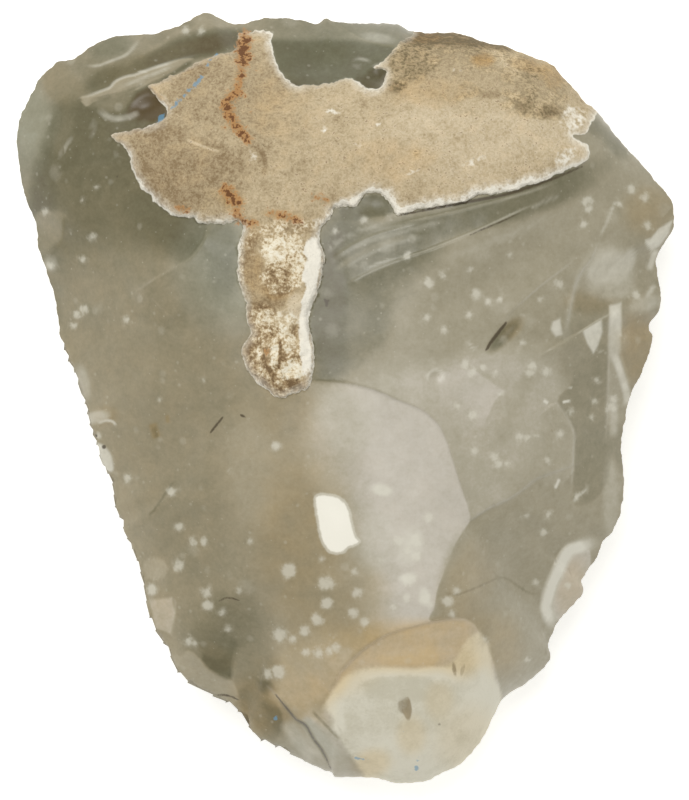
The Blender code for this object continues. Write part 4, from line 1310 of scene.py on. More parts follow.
@dataclass
class UpperFace:
    """The best face: a low dome with the patch of skin on it.

    Attributes:
        plan: The stone's outline.
        edge: The stone's edge.
        top: The height of the dome's top.
        power: The power of the dome; a higher one has a flatter middle.
        skin_step: How far the skin stands above the scars.
        skin_wall: The width of the steep part of that step.
        skin_rim: The width of the whole step, before the paint widens it.
        wall_share: How much of the step the steep part takes.
        skin_swell: How much further the skin swells towards its middle.
        swell_reach: How fast it swells.
        ragged_grain: The unevenness of the skin's edge.
        smooth_grain: The grain of the scars.
        rough_grain: The grain of the skin.
        crumb_rise: How much rougher the skin is where it crumbles.
        chalk_rise: How rough the chalk is, as a share of the skin.
        scar_fade: How far from the skin the scars start to die away.
        clear_depth: How far inside the skin the flint's paint is cleared away.
    """

    plan: Plan
    edge: Edge
    top: float = 48.0
    power: float = 2.5
    skin_step: float = 1.3
    skin_wall: float = 0.35
    skin_rim: float = 1.0
    wall_share: float = 0.6
    skin_swell: float = 3.2
    swell_reach: float = 9.0
    ragged_grain: tuple[Grain, ...] = (Grain(2.6, 0.4), Grain(1.1, 0.3), Grain(0.5, 0.18))
    smooth_grain: tuple[Grain, ...] = (Grain(9.0, 0.3), Grain(4.0, 0.1), Grain(1.6, 0.03))
    rough_grain: tuple[Grain, ...] = (Grain(3.2, 0.4), Grain(1.3, 0.22), Grain(0.6, 0.12))
    crumb_rise: float = 2.2
    chalk_rise: float = 0.5
    scar_fade: float = 2.0
    clear_depth: float = 1.0

    def painted(self, spots: Spots) -> Coat:
        """Paint the face.

        Args:
            spots: The places to paint.

        Returns:
            Their paint.
        """
        coat = Coat(spots.places)
        skin = Curve(SKIN_OUTLINE, closed=True).depth(spots.places)
        skin += grain_lift(spots.places, self.ragged_grain, Slice.RAGGED)
        coat.mark(Channel.SKIN, skin)
        coat.add(FLINT_PAINT)
        for crest in UPPER_CRESTS:
            crest.apply(coat)
        for channel in (Channel.TONE, Channel.HONEY, Channel.PALE, Channel.SPECK, Channel.RIDGE):
            coat.lay(channel, channel.blank, (skin > self.clear_depth).astype(float))
        coat.add(SKIN_PAINT)
        return coat

    def heights(self, spots: Spots, coat: Coat) -> np.ndarray:
        """Work out the heights of the face.

        Args:
            spots: The places to measure.
            coat: Their paint.

        Returns:
            The height of each place, in millimetres.
        """
        edge = self.edge.level(spots.angles)
        bowed = np.clip(1.0 - spots.reach**self.power, 0.0, 1.0) ** self.edge.power(spots.angles)
        dome = edge + (self.top - edge) * bowed
        skin = coat.amounts[Channel.SKIN]
        rim = np.maximum(self.skin_rim + coat.amounts[Channel.RIM], self.skin_wall)
        step = self.wall_share * smooth_step(0.0, self.skin_wall, skin)
        step += (1.0 - self.wall_share) * smooth_step(0.0, 1.0, skin / rim)
        swell = self.skin_swell * (1.0 - np.exp(-np.clip(skin, 0.0, None) / self.swell_reach))
        bare = 1.0 - smooth_step(-self.scar_fade, 0.0, skin)
        relief = self.skin_step * step + swell - bare * self.plan.flaked(spots.places, UPPER_FLAKES)
        relief += sum(crest.lift(spots.places) for crest in UPPER_CRESTS)
        relief += sum(hollow.lift(spots.places) for hollow in UPPER_HOLLOWS)
        relief += grain_lift(spots.places, self.smooth_grain, Slice.SMOOTH)
        rough = step * (1.0 + self.crumb_rise * coat.amounts[Channel.CRUMB])
        rough += self.chalk_rise * coat.amounts[Channel.CHALK]
        relief += rough * grain_lift(spots.places, self.rough_grain, Slice.ROUGH)
        return dome + relief * (1.0 - spots.reach**EDGE_POWER)


@dataclass
class UnderFace:
    """The back: a deeper dome of broad scars, cut off flat where it rests.

    Attributes:
        front: The best face, whose paint runs on round the edge.
        power: The power of the dome; a higher one has a flatter middle.
        wrap: How far inland that paint starts to fade, and where it is gone.
        tones: The tones of the scars, in turn.
        scar_rim: How far out on a scar its tone starts to end: 1 is its rim.
        grain: The grain of the scars.
    """

    front: UpperFace
    power: float = 2.4
    wrap: tuple[float, float] = (3.0, 13.0)
    tones: tuple[float, ...] = (0.3, -0.25, 0.05, -0.4, 0.4, -0.1)
    scar_rim: float = 0.94
    grain: tuple[Grain, ...] = (Grain(10.0, 0.4), Grain(4.5, 0.12), Grain(1.6, 0.03))

    def painted(self, spots: Spots) -> Coat:
        """Paint the face: as the best face near the edge, with its own scars further in.

        Args:
            spots: The places to paint.

        Returns:
            Their paint.
        """
        coat = self.front.painted(spots)
        plan = self.front.plan
        share = smooth_step(*self.wrap, (1.0 - spots.reach) * plan.radius(spots.angles))
        for channel in Channel:
            coat.lay(channel, channel.blank, share)
        for index, flake in enumerate(UNDER_FLAKES):
            inside = 1.0 - smooth_step(self.scar_rim, 1.0, plan.flake_reach(spots.places, flake))
            coat.lay(Channel.TONE, self.tones[index % len(self.tones)], inside * share)
        return coat

    def heights(self, spots: Spots, coat: Coat) -> np.ndarray:
        """Work out the heights of the face, before it is cut to rest.

        Args:
            spots: The places to measure.
            coat: Their paint, which doesn't change this face.

        Returns:
            The height of each place, in millimetres.
        """
        edge = self.front.edge.level(spots.angles)
        bowed = np.clip(1.0 - spots.reach**self.power, 0.0, 1.0) ** self.front.edge.power(spots.angles)
        relief = self.front.plan.flaked(spots.places, UNDER_FLAKES)
        relief += grain_lift(spots.places, self.grain, Slice.UNDER)
        return edge * (1.0 - bowed) + relief * (1.0 - spots.reach**EDGE_POWER)


# ---------------------------------------------------------------- finishes


class Signal:
    """What one socket gives, with arithmetic that adds Math nodes.

    Args:
        sheet: The finish's nodes.
        socket: The socket.
    """

    def __init__(self, sheet: "Sheet", socket: bpy.types.NodeSocket) -> None:
        self.sheet = sheet
        self.socket = socket

    def math(self, operation: str, first: "Value", second: "Value" = 0.0) -> "Signal":
        """Add a Math node.

        Args:
            operation: What it works out.
            first: Its first number.
            second: Its second number.

        Returns:
            The result.
        """
        node = self.sheet.add("ShaderNodeMath", {"operation": operation}, {0: first, 1: second})
        return Signal(self.sheet, node.outputs[0])

    def __add__(self, other: "Value") -> "Signal":
        """Return the sum."""
        return self.math("ADD", self, other)

    def __radd__(self, other: "Value") -> "Signal":
        """Return the sum, with the number first."""
        return self.math("ADD", other, self)

    def __sub__(self, other: "Value") -> "Signal":
        """Return the difference."""
        return self.math("SUBTRACT", self, other)

    def __rsub__(self, other: "Value") -> "Signal":
        """Return the difference, with the number first."""
        return self.math("SUBTRACT", other, self)

    def __mul__(self, other: "Value") -> "Signal":
        """Return the product."""
        return self.math("MULTIPLY", self, other)

    def __rmul__(self, other: "Value") -> "Signal":
        """Return the product, with the number first."""
        return self.math("MULTIPLY", other, self)

    def __truediv__(self, other: "Value") -> "Signal":
        """Return the quotient."""
        return self.math("DIVIDE", self, other)

    def rise(self, low: float, high: float) -> "Signal":
        """Return a smooth rise from 0 to 1 as the signal goes from low to high."""
        settings = {"interpolation_type": "SMOOTHSTEP"}
        sockets = {"Value": self, "From Min": low, "From Max": high}
        node = self.sheet.add("ShaderNodeMapRange", settings, sockets)
        return Signal(self.sheet, node.outputs["Result"])


Value = Signal | float
Tint = Signal | Colour


class Sheet:
    """The nodes of one finish.

    Args:
        name: The name of its material.
    """

    # The sockets of a node that mixes colours, and a noise's middle and how much it is stretched.
    MIX_FACTOR, MIX_FIRST, MIX_SECOND, MIX_RESULT = 0, 6, 7, 2
    NOISE_MIDDLE, NOISE_STRETCH = 0.5, 3.0

    def __init__(self, name: str) -> None:
        self.material = bpy.data.materials.new(name)
        self.material.use_nodes = True
        self.tree = self.material.node_tree
        self.shader = self.tree.nodes["Principled BSDF"]

    def add(self, kind: str, settings: dict, sockets: dict) -> bpy.types.Node:
        """Add a node.

        Args:
            kind: Its type.
            settings: What is set on the node itself, or the stops of a colour ramp.
            sockets: The number, colour or signal of each of its sockets.

        Returns:
            The node.
        """
        node = self.tree.nodes.new(kind)
        for name, setting in settings.items():
            if name == "stops":
                self.set_stops(node.color_ramp.elements, setting)
            else:
                setattr(node, name, setting)
        self.feed(node, sockets)
        return node

    def set_stops(self, elements: bpy.types.ColorRampElements, stops: Stops) -> None:
        """Set the stops of a colour ramp, from low to high.

        Args:
            elements: The ramp's elements.
            stops: The stops.
        """
        for index, (place, colour) in enumerate(stops):
            element = elements[index] if index < len(elements) else elements.new(place)
            element.position = place
            element.color = (*colour, 1.0)

    def feed(self, node: bpy.types.Node, sockets: dict) -> None:
        """Set or link sockets of a node.

        Args:
            node: The node.
            sockets: The number, colour or signal of each of those sockets.
        """
        for key, value in sockets.items():
            if isinstance(value, Signal):
                self.tree.links.new(value.socket, node.inputs[key])
            elif isinstance(value, tuple):
                node.inputs[key].default_value = (*value, 1.0)[: len(node.inputs[key].default_value)]
            else:
                node.inputs[key].default_value = value

    def millimetres(self) -> Signal:
        """Return the place on the piece, in millimetres."""
        place = self.add("ShaderNodeTexCoord", {}, {}).outputs["Object"]
        sockets = {0: Signal(self, place), "Scale": 1 / MM}
        node = self.add("ShaderNodeVectorMath", {"operation": "SCALE"}, sockets)
        return Signal(self, node.outputs[0])

    def cloud(self, place: Signal, size: float, detail: float = 2.0, roughness: float = 0.5) -> Signal:
        """Add uneven patches, from about -1 to 1.

        Args:
            place: The place on the piece.
            size: How far apart the patches lie.
            detail: How many finer layers they have.
            roughness: How strong those are.

        Returns:
            The patches.
        """
        sockets = {"Vector": place, "Scale": 1.0 / size, "Detail": detail, "Roughness": roughness}
        node = self.add("ShaderNodeTexNoise", {}, sockets)
        return (Signal(self, node.outputs[0]) - self.NOISE_MIDDLE) * self.NOISE_STRETCH

    def paint(self, channel: Channel) -> Signal:
        """Return what is painted on the piece in a channel."""
        node = self.add("ShaderNodeAttribute", {"attribute_name": channel.value}, {})
        return Signal(self, node.outputs["Fac"])

    def mix(self, share: Value, first: Tint, second: Tint, blend: str = "MIX") -> Signal:
        """Mix two colours.

        Args:
            share: How much of the second shows.
            first: The first colour.
            second: The second colour.
            blend: How they are mixed.

        Returns:
            The mixed colour.
        """
        sockets = {self.MIX_FACTOR: share, self.MIX_FIRST: first, self.MIX_SECOND: second}
        node = self.add("ShaderNodeMix", {"data_type": "RGBA", "blend_type": blend}, sockets)
        return Signal(self, node.outputs[self.MIX_RESULT])

    def ramp(self, share: Signal, stops: Stops) -> Signal:
        """Return the colour of a signal on a ramp of colours."""
        node = self.add("ShaderNodeValToRGB", {"stops": stops}, {"Fac": share})
        return Signal(self, node.outputs["Color"])


def colour(red: int, green: int, blue: int) -> Colour:
    """Return a colour for a shader from its three parts, each from 0 to 255."""
    parts = (part / 255 for part in (red, green, blue))
    return tuple(part / 12.92 if part <= 0.04045 else ((part + 0.055) / 1.055) ** 2.4 for part in parts)


@dataclass
class Clouds:
    """Uneven patterns of several sizes, which the parts of the finish share.

    Attributes:
        place: The place on the piece, in millimetres.
        drift: Broad patches, 13 mm apart.
        blotch: Patches 5 mm apart.
        mottle: Patches 2.2 mm apart.
        fray: What frays the edges of marks, 1.1 mm apart.
        grain: Grains 0.55 mm apart.
        grit: The finest grains, 0.36 mm apart.
    """

    place: Signal
    drift: Signal
    blotch: Signal
    mottle: Signal
    fray: Signal
    grain: Signal
    grit: Signal


@dataclass(frozen=True)
class FlintFinish:
    """The stone's finish: glassy flint, its pale specks, chalky skin, rust and soil.

    Attributes:
        flint: The shades of the flint, from dark to pale.
        honey: What multiplies the flint where it is warm.
        cool: What multiplies it where it is cool.
        pale: Milky flint, and the painted highlights along crests.
        speck: A pale speck.
        inclusion: The middle of a large speck.
        soft_speck: The dust of fine specks, and the halo of a large one.
        dust: The fine specks' spacing in millimetres, size as a share of it, and opacity.
        chalk: The chalk at the tip.
        chalk_white: The same where it is whitest.
        skin: The shades of the skin, from dark to pale.
        skin_white: Powdery white skin.
        freckle: Its dark dots.
        ochre: What multiplies it where it is stained.
        soil: The grains of soil in it, from dark to pale.
        crumb: Its crumbs, from dark to pale.
        grain_stops: Where on a ramp the five colours of soil and of crumbs lie.
        smear: Soil on the chalk.
        rust: Rust at its edges.
        rust_dark: Rust in its middle.
        blue: A blue line.
        crack_and_shadow: The dark of cracks, and of the painted shadow line under the skin's rim.
    """

    flint: tuple[Colour, ...] = (
        colour(84, 73, 44), colour(102, 98, 72), colour(127, 121, 96), colour(151, 143, 119),
        colour(169, 162, 141), colour(191, 184, 169), colour(206, 200, 187),
    )
    honey: Colour = colour(255, 233, 192)
    cool: Colour = colour(240, 251, 255)
    pale: Colour = colour(212, 208, 192)
    speck: Colour = colour(214, 210, 193)
    inclusion: Colour = colour(238, 234, 219)
    soft_speck: Colour = colour(196, 191, 173)
    dust: tuple[tuple[float, float, float], ...] = (
        (9.0, 0.22, 0.16), (4.4, 0.2, 0.18), (2.3, 0.16, 0.22), (1.4, 0.1, 0.4),
    )
    chalk: Colour = colour(196, 190, 168)
    chalk_white: Colour = colour(214, 209, 190)
    skin: tuple[Colour, ...] = (colour(138, 117, 84), colour(187, 169, 135), colour(216, 201, 172))
    skin_white: Colour = colour(240, 235, 220)
    freckle: Colour = colour(118, 90, 56)
    ochre: Colour = colour(248, 220, 168)
    soil: tuple[Colour, ...] = (
        colour(106, 92, 62), colour(136, 120, 86), colour(160, 142, 108), colour(184, 164, 127),
        colour(212, 196, 162),
    )
    crumb: tuple[Colour, ...] = (
        colour(118, 94, 62), colour(158, 134, 98), colour(196, 176, 140), colour(224, 211, 182),
        colour(240, 233, 212),
    )
    grain_stops: tuple[float, ...] = (0.1, 0.34, 0.5, 0.64, 0.86)
    smear: Colour = colour(138, 122, 90)
    rust: Colour = colour(176, 128, 74)
    rust_dark: Colour = colour(98, 58, 26)
    blue: Colour = colour(92, 146, 176)
    crack_and_shadow: Colour = colour(72, 60, 38)

    def material(self) -> bpy.types.Material:
        """Return the material."""
        sheet = Sheet("knapped_flint")
        place = sheet.millimetres()
        clouds = Clouds(
            place,
            drift=sheet.cloud(place, 13.0, 3.0),
            blotch=sheet.cloud(place, 5.0, 3.0, 0.55),
            mottle=sheet.cloud(place, 2.2, 3.0, 0.55),
            fray=sheet.cloud(place, 1.1, 3.0, 0.6),
            grain=sheet.cloud(place, 0.55, 2.0, 0.6),
            grit=sheet.cloud(place, 0.36, 1.0, 0.6),
        )
        skin_depth = sheet.paint(Channel.SKIN) + clouds.fray * 0.1
        skin = skin_depth.rise(-0.08, 0.1)
        chalk = (sheet.paint(Channel.CHALK) + clouds.blotch * 0.12 + clouds.mottle * 0.12).rise(0.15, 0.85)
        flint = self.flint_colour(sheet, clouds)
        chalked = sheet.mix(chalk, flint, self.chalk_colour(sheet, clouds))
        bared = sheet.mix(skin, chalked, self.skin_colour(sheet, skin_depth, clouds))
        rough = 0.4 + 0.5 * skin + 0.32 * chalk
        fine = clouds.grain * (0.004 + 0.05 * skin + 0.02 * chalk)
        height = fine + clouds.fray * (0.002 + 0.1 * skin + 0.03 * chalk) + clouds.mottle * 0.012
        bump = sheet.add("ShaderNodeBump", {}, {"Strength": 0.7, "Distance": MM, "Height": height})
        normal = Signal(sheet, bump.outputs["Normal"])
        sheet.feed(sheet.shader, {"Base Color": self.marked(sheet, bared, clouds)})
        sheet.feed(sheet.shader, {"Roughness": rough, "Normal": normal, "IOR": 1.5})
        return sheet.material

    def flint_colour(self, sheet: Sheet, clouds: Clouds) -> Signal:
        """Colour the bare flint with its specks.

        Args:
            sheet: The finish's nodes.
            clouds: The patterns it shares.

        Returns:
            The colour.
        """
        tone = sheet.paint(Channel.TONE) + clouds.drift * 0.12 + clouds.blotch * 0.15 + clouds.mottle * 0.12
        tone = tone + clouds.fray * 0.08 + clouds.grain * 0.06
        # painted highlight, partly pale wear: the flint is a little paler along the crests' lines
        tone = tone + sheet.paint(Channel.RIDGE).rise(-0.2, 0.3) * 0.14
        plain = sheet.ramp(tone / 3.0 + 0.5, self.evenly(self.flint))
        warmth = sheet.paint(Channel.HONEY) * (0.68 + clouds.blotch * 0.2) + clouds.blotch * 0.06
        warmed = sheet.mix(warmth, plain, self.honey, "MULTIPLY")
        cooled = sheet.mix(-1.0 * warmth, warmed, self.cool, "MULTIPLY")
        paled = sheet.mix(sheet.paint(Channel.PALE) * (0.95 + clouds.mottle * 0.3), cooled, self.pale)
        for spacing, size, opacity in self.dust:
            cover = self.fine_specks(sheet, clouds, spacing, size)
            paled = sheet.mix(cover * opacity, paled, self.soft_speck)
        depth = sheet.paint(Channel.SPECK) + clouds.mottle * 0.35 + clouds.fray * 0.3
        haloed = sheet.mix(depth.rise(-0.8, 0.4) * 0.25, paled, self.soft_speck)
        specked = sheet.mix(depth.rise(-0.3, 0.6) * 0.48, haloed, self.speck)
        return sheet.mix(depth.rise(0.9, 2.2), specked, self.inclusion)

    def evenly(self, shades: tuple[Colour, ...]) -> Stops:
        """Return shades as the stops of a ramp, evenly spread."""
        return ((index / (len(shades) - 1), shade) for index, shade in enumerate(shades))

    def fine_specks(self, sheet: Sheet, clouds: Clouds, spacing: float, size: float) -> Signal:
        """Work out how much fine round specks cover.

        Args:
            sheet: The finish's nodes.
            clouds: The patterns it shares.
            spacing: How far apart the specks lie.
            size: The radius of the largest, as a share of the spacing.

        Returns:
            Their cover, from 0 to 1.
        """
        sockets = {"Vector": clouds.place, "Scale": 1.0 / spacing, "Randomness": 1.0}
        cells = sheet.add("ShaderNodeTexVoronoi", {}, sockets)
        pick = sheet.add("ShaderNodeSeparateColor", {}, {"Color": Signal(sheet, cells.outputs["Color"])})
        radius = Signal(sheet, pick.outputs["Red"]).rise(0.2, 1.0) * size
        inside = radius - Signal(sheet, cells.outputs["Distance"]) + clouds.fray * 0.04
        return inside.rise(-0.07, 0.1)

    def chalk_colour(self, sheet: Sheet, clouds: Clouds) -> Signal:
        """Colour the chalk at the tip.

        Args:
            sheet: The finish's nodes.
            clouds: The patterns it shares.

        Returns:
            The colour.
        """
        share = clouds.blotch * 0.8 + clouds.mottle * 0.7 + clouds.grain * 0.35 + sheet.paint(Channel.SHADE)
        share = share.rise(-1.1, 1.1)
        plain = sheet.mix(share, self.chalk, self.chalk_white)
        warmed = sheet.mix(sheet.paint(Channel.HONEY) * 0.6, plain, self.honey, "MULTIPLY")
        soil = (sheet.paint(Channel.SOIL) * 1.3 + clouds.fray * 0.25 - 0.35).rise(0.0, 0.7)
        return sheet.mix(soil * 0.8, warmed, self.smear)

    def skin_colour(self, sheet: Sheet, depth: Signal, clouds: Clouds) -> Signal:
        """Colour the chalky skin.

        Args:
            sheet: The finish's nodes.
            depth: How far inside its outline each place lies, in millimetres.
            clouds: The patterns it shares.

        Returns:
            The colour.
        """
        shade = sheet.paint(Channel.SHADE)
        tone = shade + clouds.drift * 0.28 + clouds.blotch * 0.36 + clouds.mottle * 0.36 + clouds.fray * 0.32
        tone = tone + clouds.grain * 0.42 + clouds.grit * 0.3
        plain = sheet.ramp(tone * 0.5 + 0.5, self.evenly(self.skin))
        grains = clouds.blotch * 0.25 + clouds.mottle * 0.4 + clouds.fray * 0.7
        grains = grains + clouds.grain * 0.5 + shade * 0.5
        soil = sheet.paint(Channel.SOIL) * 1.3 + clouds.blotch * 0.4 + clouds.mottle * 0.45 - 0.4
        soiled = sheet.mix(soil.rise(0.0, 0.6) * 0.9, plain, self.speckled(sheet, grains, self.soil))
        stain = sheet.paint(Channel.HONEY) * 0.8 + clouds.blotch * 0.2 + clouds.mottle * 0.25
        stained = sheet.mix(stain, soiled, self.ochre, "MULTIPLY")
        dots = (clouds.grain * 0.7 + clouds.fray * 0.35 + sheet.paint(Channel.SOIL) * 0.12).rise(0.36, 0.54)
        dotted = sheet.mix(dots * 0.62, stained, self.freckle)
        crumbs = clouds.mottle * 0.3 + clouds.fray * 0.5 + clouds.grain * 0.45 + shade * 0.65
        crumb = (sheet.paint(Channel.CRUMB) * 1.3 + clouds.mottle * 0.4 - 0.4).rise(0.0, 0.5)
        crumbled = sheet.mix(crumb, dotted, self.speckled(sheet, crumbs, self.crumb))
        flecks = (clouds.grain * 0.6 - clouds.fray * 0.4).rise(0.42, 0.65)
        flecked = sheet.mix(flecks * 0.6, crumbled, self.skin_white)
        bleach = sheet.paint(Channel.BLEACH) * 1.35 + clouds.mottle * 0.5 + clouds.fray * 0.35 - 0.5
        bleached = sheet.mix(bleach.rise(0.0, 0.7) * 0.92, flecked, self.skin_white)
        width = (0.35 + sheet.paint(Channel.RIM)) * (1.0 + clouds.mottle * 0.8 + clouds.blotch * 0.4)
        inland = width - depth + clouds.fray * 0.3 + clouds.grain * 0.15
        powdered = sheet.mix(inland.rise(-1.6, 0.2) * 0.35, bleached, self.skin_white)
        return sheet.mix(inland.rise(-0.35, 0.35) * 0.85, powdered, self.skin_white)

    def speckled(self, sheet: Sheet, grains: Signal, colours: tuple[Colour, ...]) -> Signal:
        """Return grains of several colours, the first where they are lowest."""
        return sheet.ramp(grains * 0.5 + 0.5, zip(self.grain_stops, colours))

    def marked(self, sheet: Sheet, base: Signal, clouds: Clouds) -> Signal:
        """Draw the cracks, the painted shadow line under the skin's rim, the rust and the blue line in.

        Args:
            sheet: The finish's nodes.
            base: The colour of the surface without them.
            clouds: The patterns it shares.

        Returns:
            The colour with them.
        """
        # cracks and, under the skin's rim, a painted shadow line
        dark = (sheet.paint(Channel.DARK) + clouds.fray * 0.12 + clouds.grain * 0.05).rise(-0.14, 0.16)
        cracked_and_shadowed = sheet.mix(dark * 0.9, base, self.crack_and_shadow)
        blue = (sheet.paint(Channel.BLUE) + clouds.fray * 0.5 + clouds.mottle * 0.8 - 0.25).rise(-0.1, 0.35)
        blued = sheet.mix(blue * 0.65, cracked_and_shadowed, self.blue)
        depth = sheet.paint(Channel.RUST) + clouds.mottle * 0.45 + clouds.fray * 0.9 + clouds.grain * 0.45
        rusted = sheet.mix((depth - 0.4).rise(-0.4, 0.5) * 0.85, blued, self.rust)
        return sheet.mix((depth + clouds.mottle * 0.5 - 0.9).rise(0.0, 0.5) * 0.9, rusted, self.rust_dark)


@dataclass(frozen=True)
class FloorFinish:
    """A plain pale floor.

    Attributes:
        shade: Its colour.
        roughness: How dull it is: 1 is fully dull.
        glow: How much light it gives off itself, to stay pale.
    """

    shade: Colour = colour(240, 240, 238)
    roughness: float = 0.9
    glow: float = 0.6

    def material(self) -> bpy.types.Material:
        """Return the material."""
        sheet = Sheet("pale_floor")
        sheet.feed(sheet.shader, {"Base Color": self.shade, "Roughness": self.roughness})
        sheet.feed(sheet.shader, {"Emission Color": self.shade, "Emission Strength": self.glow})
        return sheet.material


# ---------------------------------------------------------------- pieces


@dataclass(frozen=True)
class Round:
    """One round of dividing the block again, where its paint changes sharply.

    Attributes:
        band: How near to the edge of a mark a face has to lie.
        change: The change of an amount across a face that counts as an edge.
        rim: How near to the stone's edge, on the ball, a face has to lie.
    """

    band: float
    change: float
    rim: float


@dataclass
class FlintNodule:
    """The whole stone, one closed mesh inside the box of its CAD node.

    Attributes:
        low: The lowest corner of the box, in metres.
        high: The highest corner.
        cuts: How finely its block is divided on each side.
        rounds: How it is divided again.
        rest_cut: How much of its lowest point is cut off, in millimetres.
        smooth_angle: The sharpest fold that is shaded smooth, in degrees.
        plan: Its outline.
        edge: Its edge.
        finish: Its finish.
    """

    low: Vector
    high: Vector
    cuts: int = 38
    rounds: tuple[Round, ...] = (Round(0.4, 0.25, 0.02), Round(0.1, 0.5, 0.003))
    rest_cut: float = 1.2
    smooth_angle: float = 50.0
    plan: Plan = field(default_factory=Plan)
    edge: Edge = field(default_factory=Edge)
    finish: FlintFinish = field(default_factory=FlintFinish)

    def build(self) -> bpy.types.Object:
        """Return the finished stone."""
        stone = self.block()
        for again in self.rounds:
            self.divide(stone, self.crossed(stone.data, again))
        self.shape(stone.data)
        bpy.ops.object.shade_smooth_by_angle(angle=math.radians(self.smooth_angle))
        stone.data.materials.append(self.finish.material())
        return stone

    def block(self) -> bpy.types.Object:
        """Return a cube divided evenly, twice as finely on its upper half."""
        bpy.ops.mesh.primitive_cube_add(size=2.0)
        stone = bpy.context.active_object
        stone.name = stone.data.name = "flint_stone"
        bpy.ops.object.mode_set(mode="EDIT")
        bpy.ops.mesh.subdivide(number_cuts=self.cuts)
        bpy.ops.object.mode_set(mode="OBJECT")
        self.divide(stone, np.array([face.center.z > 0.0 for face in stone.data.polygons]))
        return stone

    def divide(self, stone: bpy.types.Object, chosen: np.ndarray) -> None:
        """Divide the chosen faces in four.

        Args:
            stone: The stone.
            chosen: Whether each of its faces is divided.
        """
        bpy.ops.object.mode_set(mode="EDIT")
        bpy.ops.mesh.select_all(action="DESELECT")
        bpy.ops.object.mode_set(mode="OBJECT")
        stone.data.polygons.foreach_set("select", chosen)
        bpy.ops.object.mode_set(mode="EDIT")
        bpy.ops.mesh.subdivide(number_cuts=1)
        bpy.ops.object.mode_set(mode="OBJECT")

    def crossed(self, mesh: bpy.types.Mesh, again: Round) -> np.ndarray:
        """Find the faces that the edge of a mark or of the stone crosses.

        Args:
            mesh: The block's mesh.
            again: The round of dividing.

        Returns:
            Whether each face is one of those.
        """
        corners = np.zeros(len(mesh.loops), dtype=np.int32)
        mesh.loops.foreach_get("vertex_index", corners)
        starts = np.zeros(len(mesh.polygons), dtype=np.int32)
        mesh.polygons.foreach_get("loop_start", starts)
        ball = self.ball(mesh)
        found = np.minimum.reduceat(np.abs(ball[corners, 2]), starts) < again.rim
        paint = self.drawn(mesh)[1]
        for channel, amounts in paint.items():
            low = np.minimum.reduceat(amounts[corners], starts)
            high = np.maximum.reduceat(amounts[corners], starts)
            if channel.is_depth:
                found |= (low < again.band) & (high > -again.band)
            else:
                found |= high - low > again.change
        return found

    def shape(self, mesh: bpy.types.Mesh) -> None:
        """Draw the block out to the stone and keep its paint in attributes.

        Args:
            mesh: The block's mesh.
        """
        stone, paint = self.drawn(mesh)
        mesh.vertices.foreach_set("co", self.fitted(stone).ravel())
        for channel, amounts in paint.items():
            mesh.attributes.new(channel.value, "FLOAT", "POINT").data.foreach_set("value", amounts)
        mesh.update()

    def drawn(self, mesh: bpy.types.Mesh) -> tuple[np.ndarray, dict[Channel, np.ndarray]]:
        """Work out where the block's points lie on the stone, and their paint.

        Args:
            mesh: The block's mesh.

        Returns:
            Their places on the stone, in millimetres, and the amounts in each channel.
        """
        ball = self.ball(mesh)
        stone = np.zeros_like(ball)
        paint = {channel: np.zeros(len(ball)) for channel in Channel}
        upper = UpperFace(self.plan, self.edge)
        above = ball[:, 2] > -EQUATOR_SLACK
        for chosen, face in ((above, upper), (~above, UnderFace(upper))):
            spots = self.spots(ball[chosen])
            coat = face.painted(spots)
            heights = np.maximum(face.heights(spots, coat), self.rest_cut)
            stone[chosen] = np.column_stack([spots.places, heights])
            for channel, amounts in coat.amounts.items():
                paint[channel][chosen] = amounts
        return stone, paint

    def ball(self, mesh: bpy.types.Mesh) -> np.ndarray:
        """Draw the block's points onto a ball, evenly spread.

        Args:
            mesh: The block's mesh.

        Returns:
            Their places on a ball of radius 1.
        """
        corners = np.zeros(3 * len(mesh.vertices))
        mesh.vertices.foreach_get("co", corners)
        ball = np.tan(corners.reshape(-1, 3) * math.pi / 4)
        return ball / np.linalg.norm(ball, axis=1)[:, None]

    def spots(self, ball: np.ndarray) -> Spots:
        """Work out where points of the ball lie on the stone.

        Args:
            ball: The points.

        Returns:
            Those places.
        """
        angles = np.arctan2(ball[:, 1], ball[:, 0])
        reach = np.sqrt(np.clip(1.0 - np.abs(ball[:, 2]), 0.0, 1.0))
        return Spots(self.plan.places(reach, angles), self.plan.dome_reach(reach, angles), angles)

    def fitted(self, stone: np.ndarray) -> np.ndarray:
        """Return the stone's points brought exactly into its box, in metres."""
        low, high = stone.min(axis=0), stone.max(axis=0)
        return np.array(self.low) + (stone - low) / (high - low) * (np.array(self.high) - np.array(self.low))

    def dress(self, stone: bpy.types.Object) -> None:
        """Say what the stone stands for."""
        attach(stone, "root")
        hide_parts(NODE)


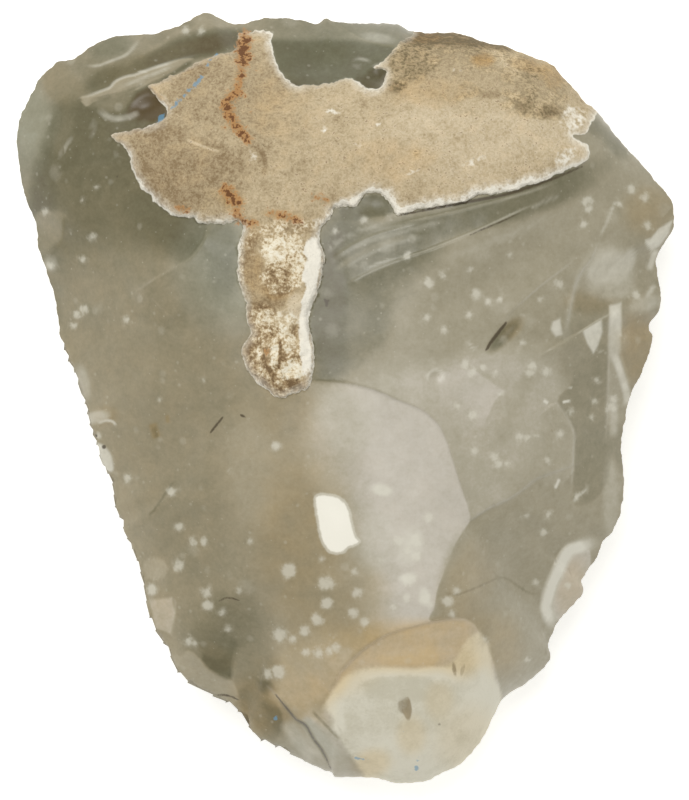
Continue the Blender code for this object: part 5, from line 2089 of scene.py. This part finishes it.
@dataclass
class Studio:
    """The floor, the lights and the camera.

    Attributes:
        floor_size: The side of the floor.
        camera_height: How high the camera stands over the floor.
        camera_shift: Where it stands in plan.
        view_height: What the picture's height shows, at the level of the stone's edge.
        edge_level: That level.
        sky: How bright the light from all round is.
        lamp_power: The power of the lamp, in watts.
        lamp_place: Where the lamp stands.
        lamp_size: Its diameter.
        finish: The floor's finish.
    """

    floor_size: float = 6.0
    camera_height: float = 4.0
    camera_shift: Point = (-0.00014, -0.00035)
    view_height: float = 0.15555
    edge_level: float = 0.024
    sky: float = 0.55
    lamp_power: float = 20.5
    lamp_place: tuple[float, float, float] = (-0.25, 0.6, 1.85)
    lamp_size: float = 1.1
    finish: FloorFinish = field(default_factory=FloorFinish)

    def floor(self) -> bpy.types.Object:
        """Return the floor."""
        bpy.ops.mesh.primitive_plane_add(size=self.floor_size)
        floor = bpy.context.active_object
        floor.name = "floor"
        floor.data.materials.append(self.finish.material())
        return floor

    def lights(self) -> None:
        """Light the stone from all round and, a little more, from the upper left."""
        world = bpy.data.worlds.new("studio")
        bpy.context.scene.world = world
        world.use_nodes = True
        world.node_tree.nodes["Background"].inputs["Color"].default_value = (1.0, 1.0, 1.0, 1.0)
        world.node_tree.nodes["Background"].inputs["Strength"].default_value = self.sky
        bpy.ops.object.light_add(type="AREA", location=self.lamp_place)
        lamp = bpy.context.active_object
        lamp.name = "soft_box"
        lamp.data.shape = "DISK"
        lamp.data.size = self.lamp_size
        lamp.data.energy = self.lamp_power
        lamp.rotation_euler = (-lamp.location).to_track_quat("-Z", "Y").to_euler()

    def camera(self) -> None:
        """Look straight down on the stone through a long lens."""
        data = bpy.data.cameras.new("camera")
        data.lens = data.sensor_width * (self.camera_height - self.edge_level) / self.view_height
        camera = bpy.data.objects.new("camera", data)
        camera.location = (*self.camera_shift, self.camera_height)
        bpy.context.collection.objects.link(camera)
        bpy.context.scene.camera = camera


def main() -> None:
    """Build the studio and the stone."""
    logging.basicConfig(level=logging.INFO, format="%(message)s")
    bpy.ops.object.select_all(action="DESELECT")
    bpy.context.scene.view_settings.view_transform = "Standard"
    studio = Studio()
    LOG.info("floor: %s", studio.floor().name)
    studio.lights()
    studio.camera()
    low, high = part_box(NODE)
    nodule = FlintNodule(Vector(low), Vector(high))
    stone = nodule.build()
    nodule.dress(stone)
    LOG.info("stone: %s, %d faces", stone.name, len(stone.data.polygons))


if __name__ == "__main__":
    main()
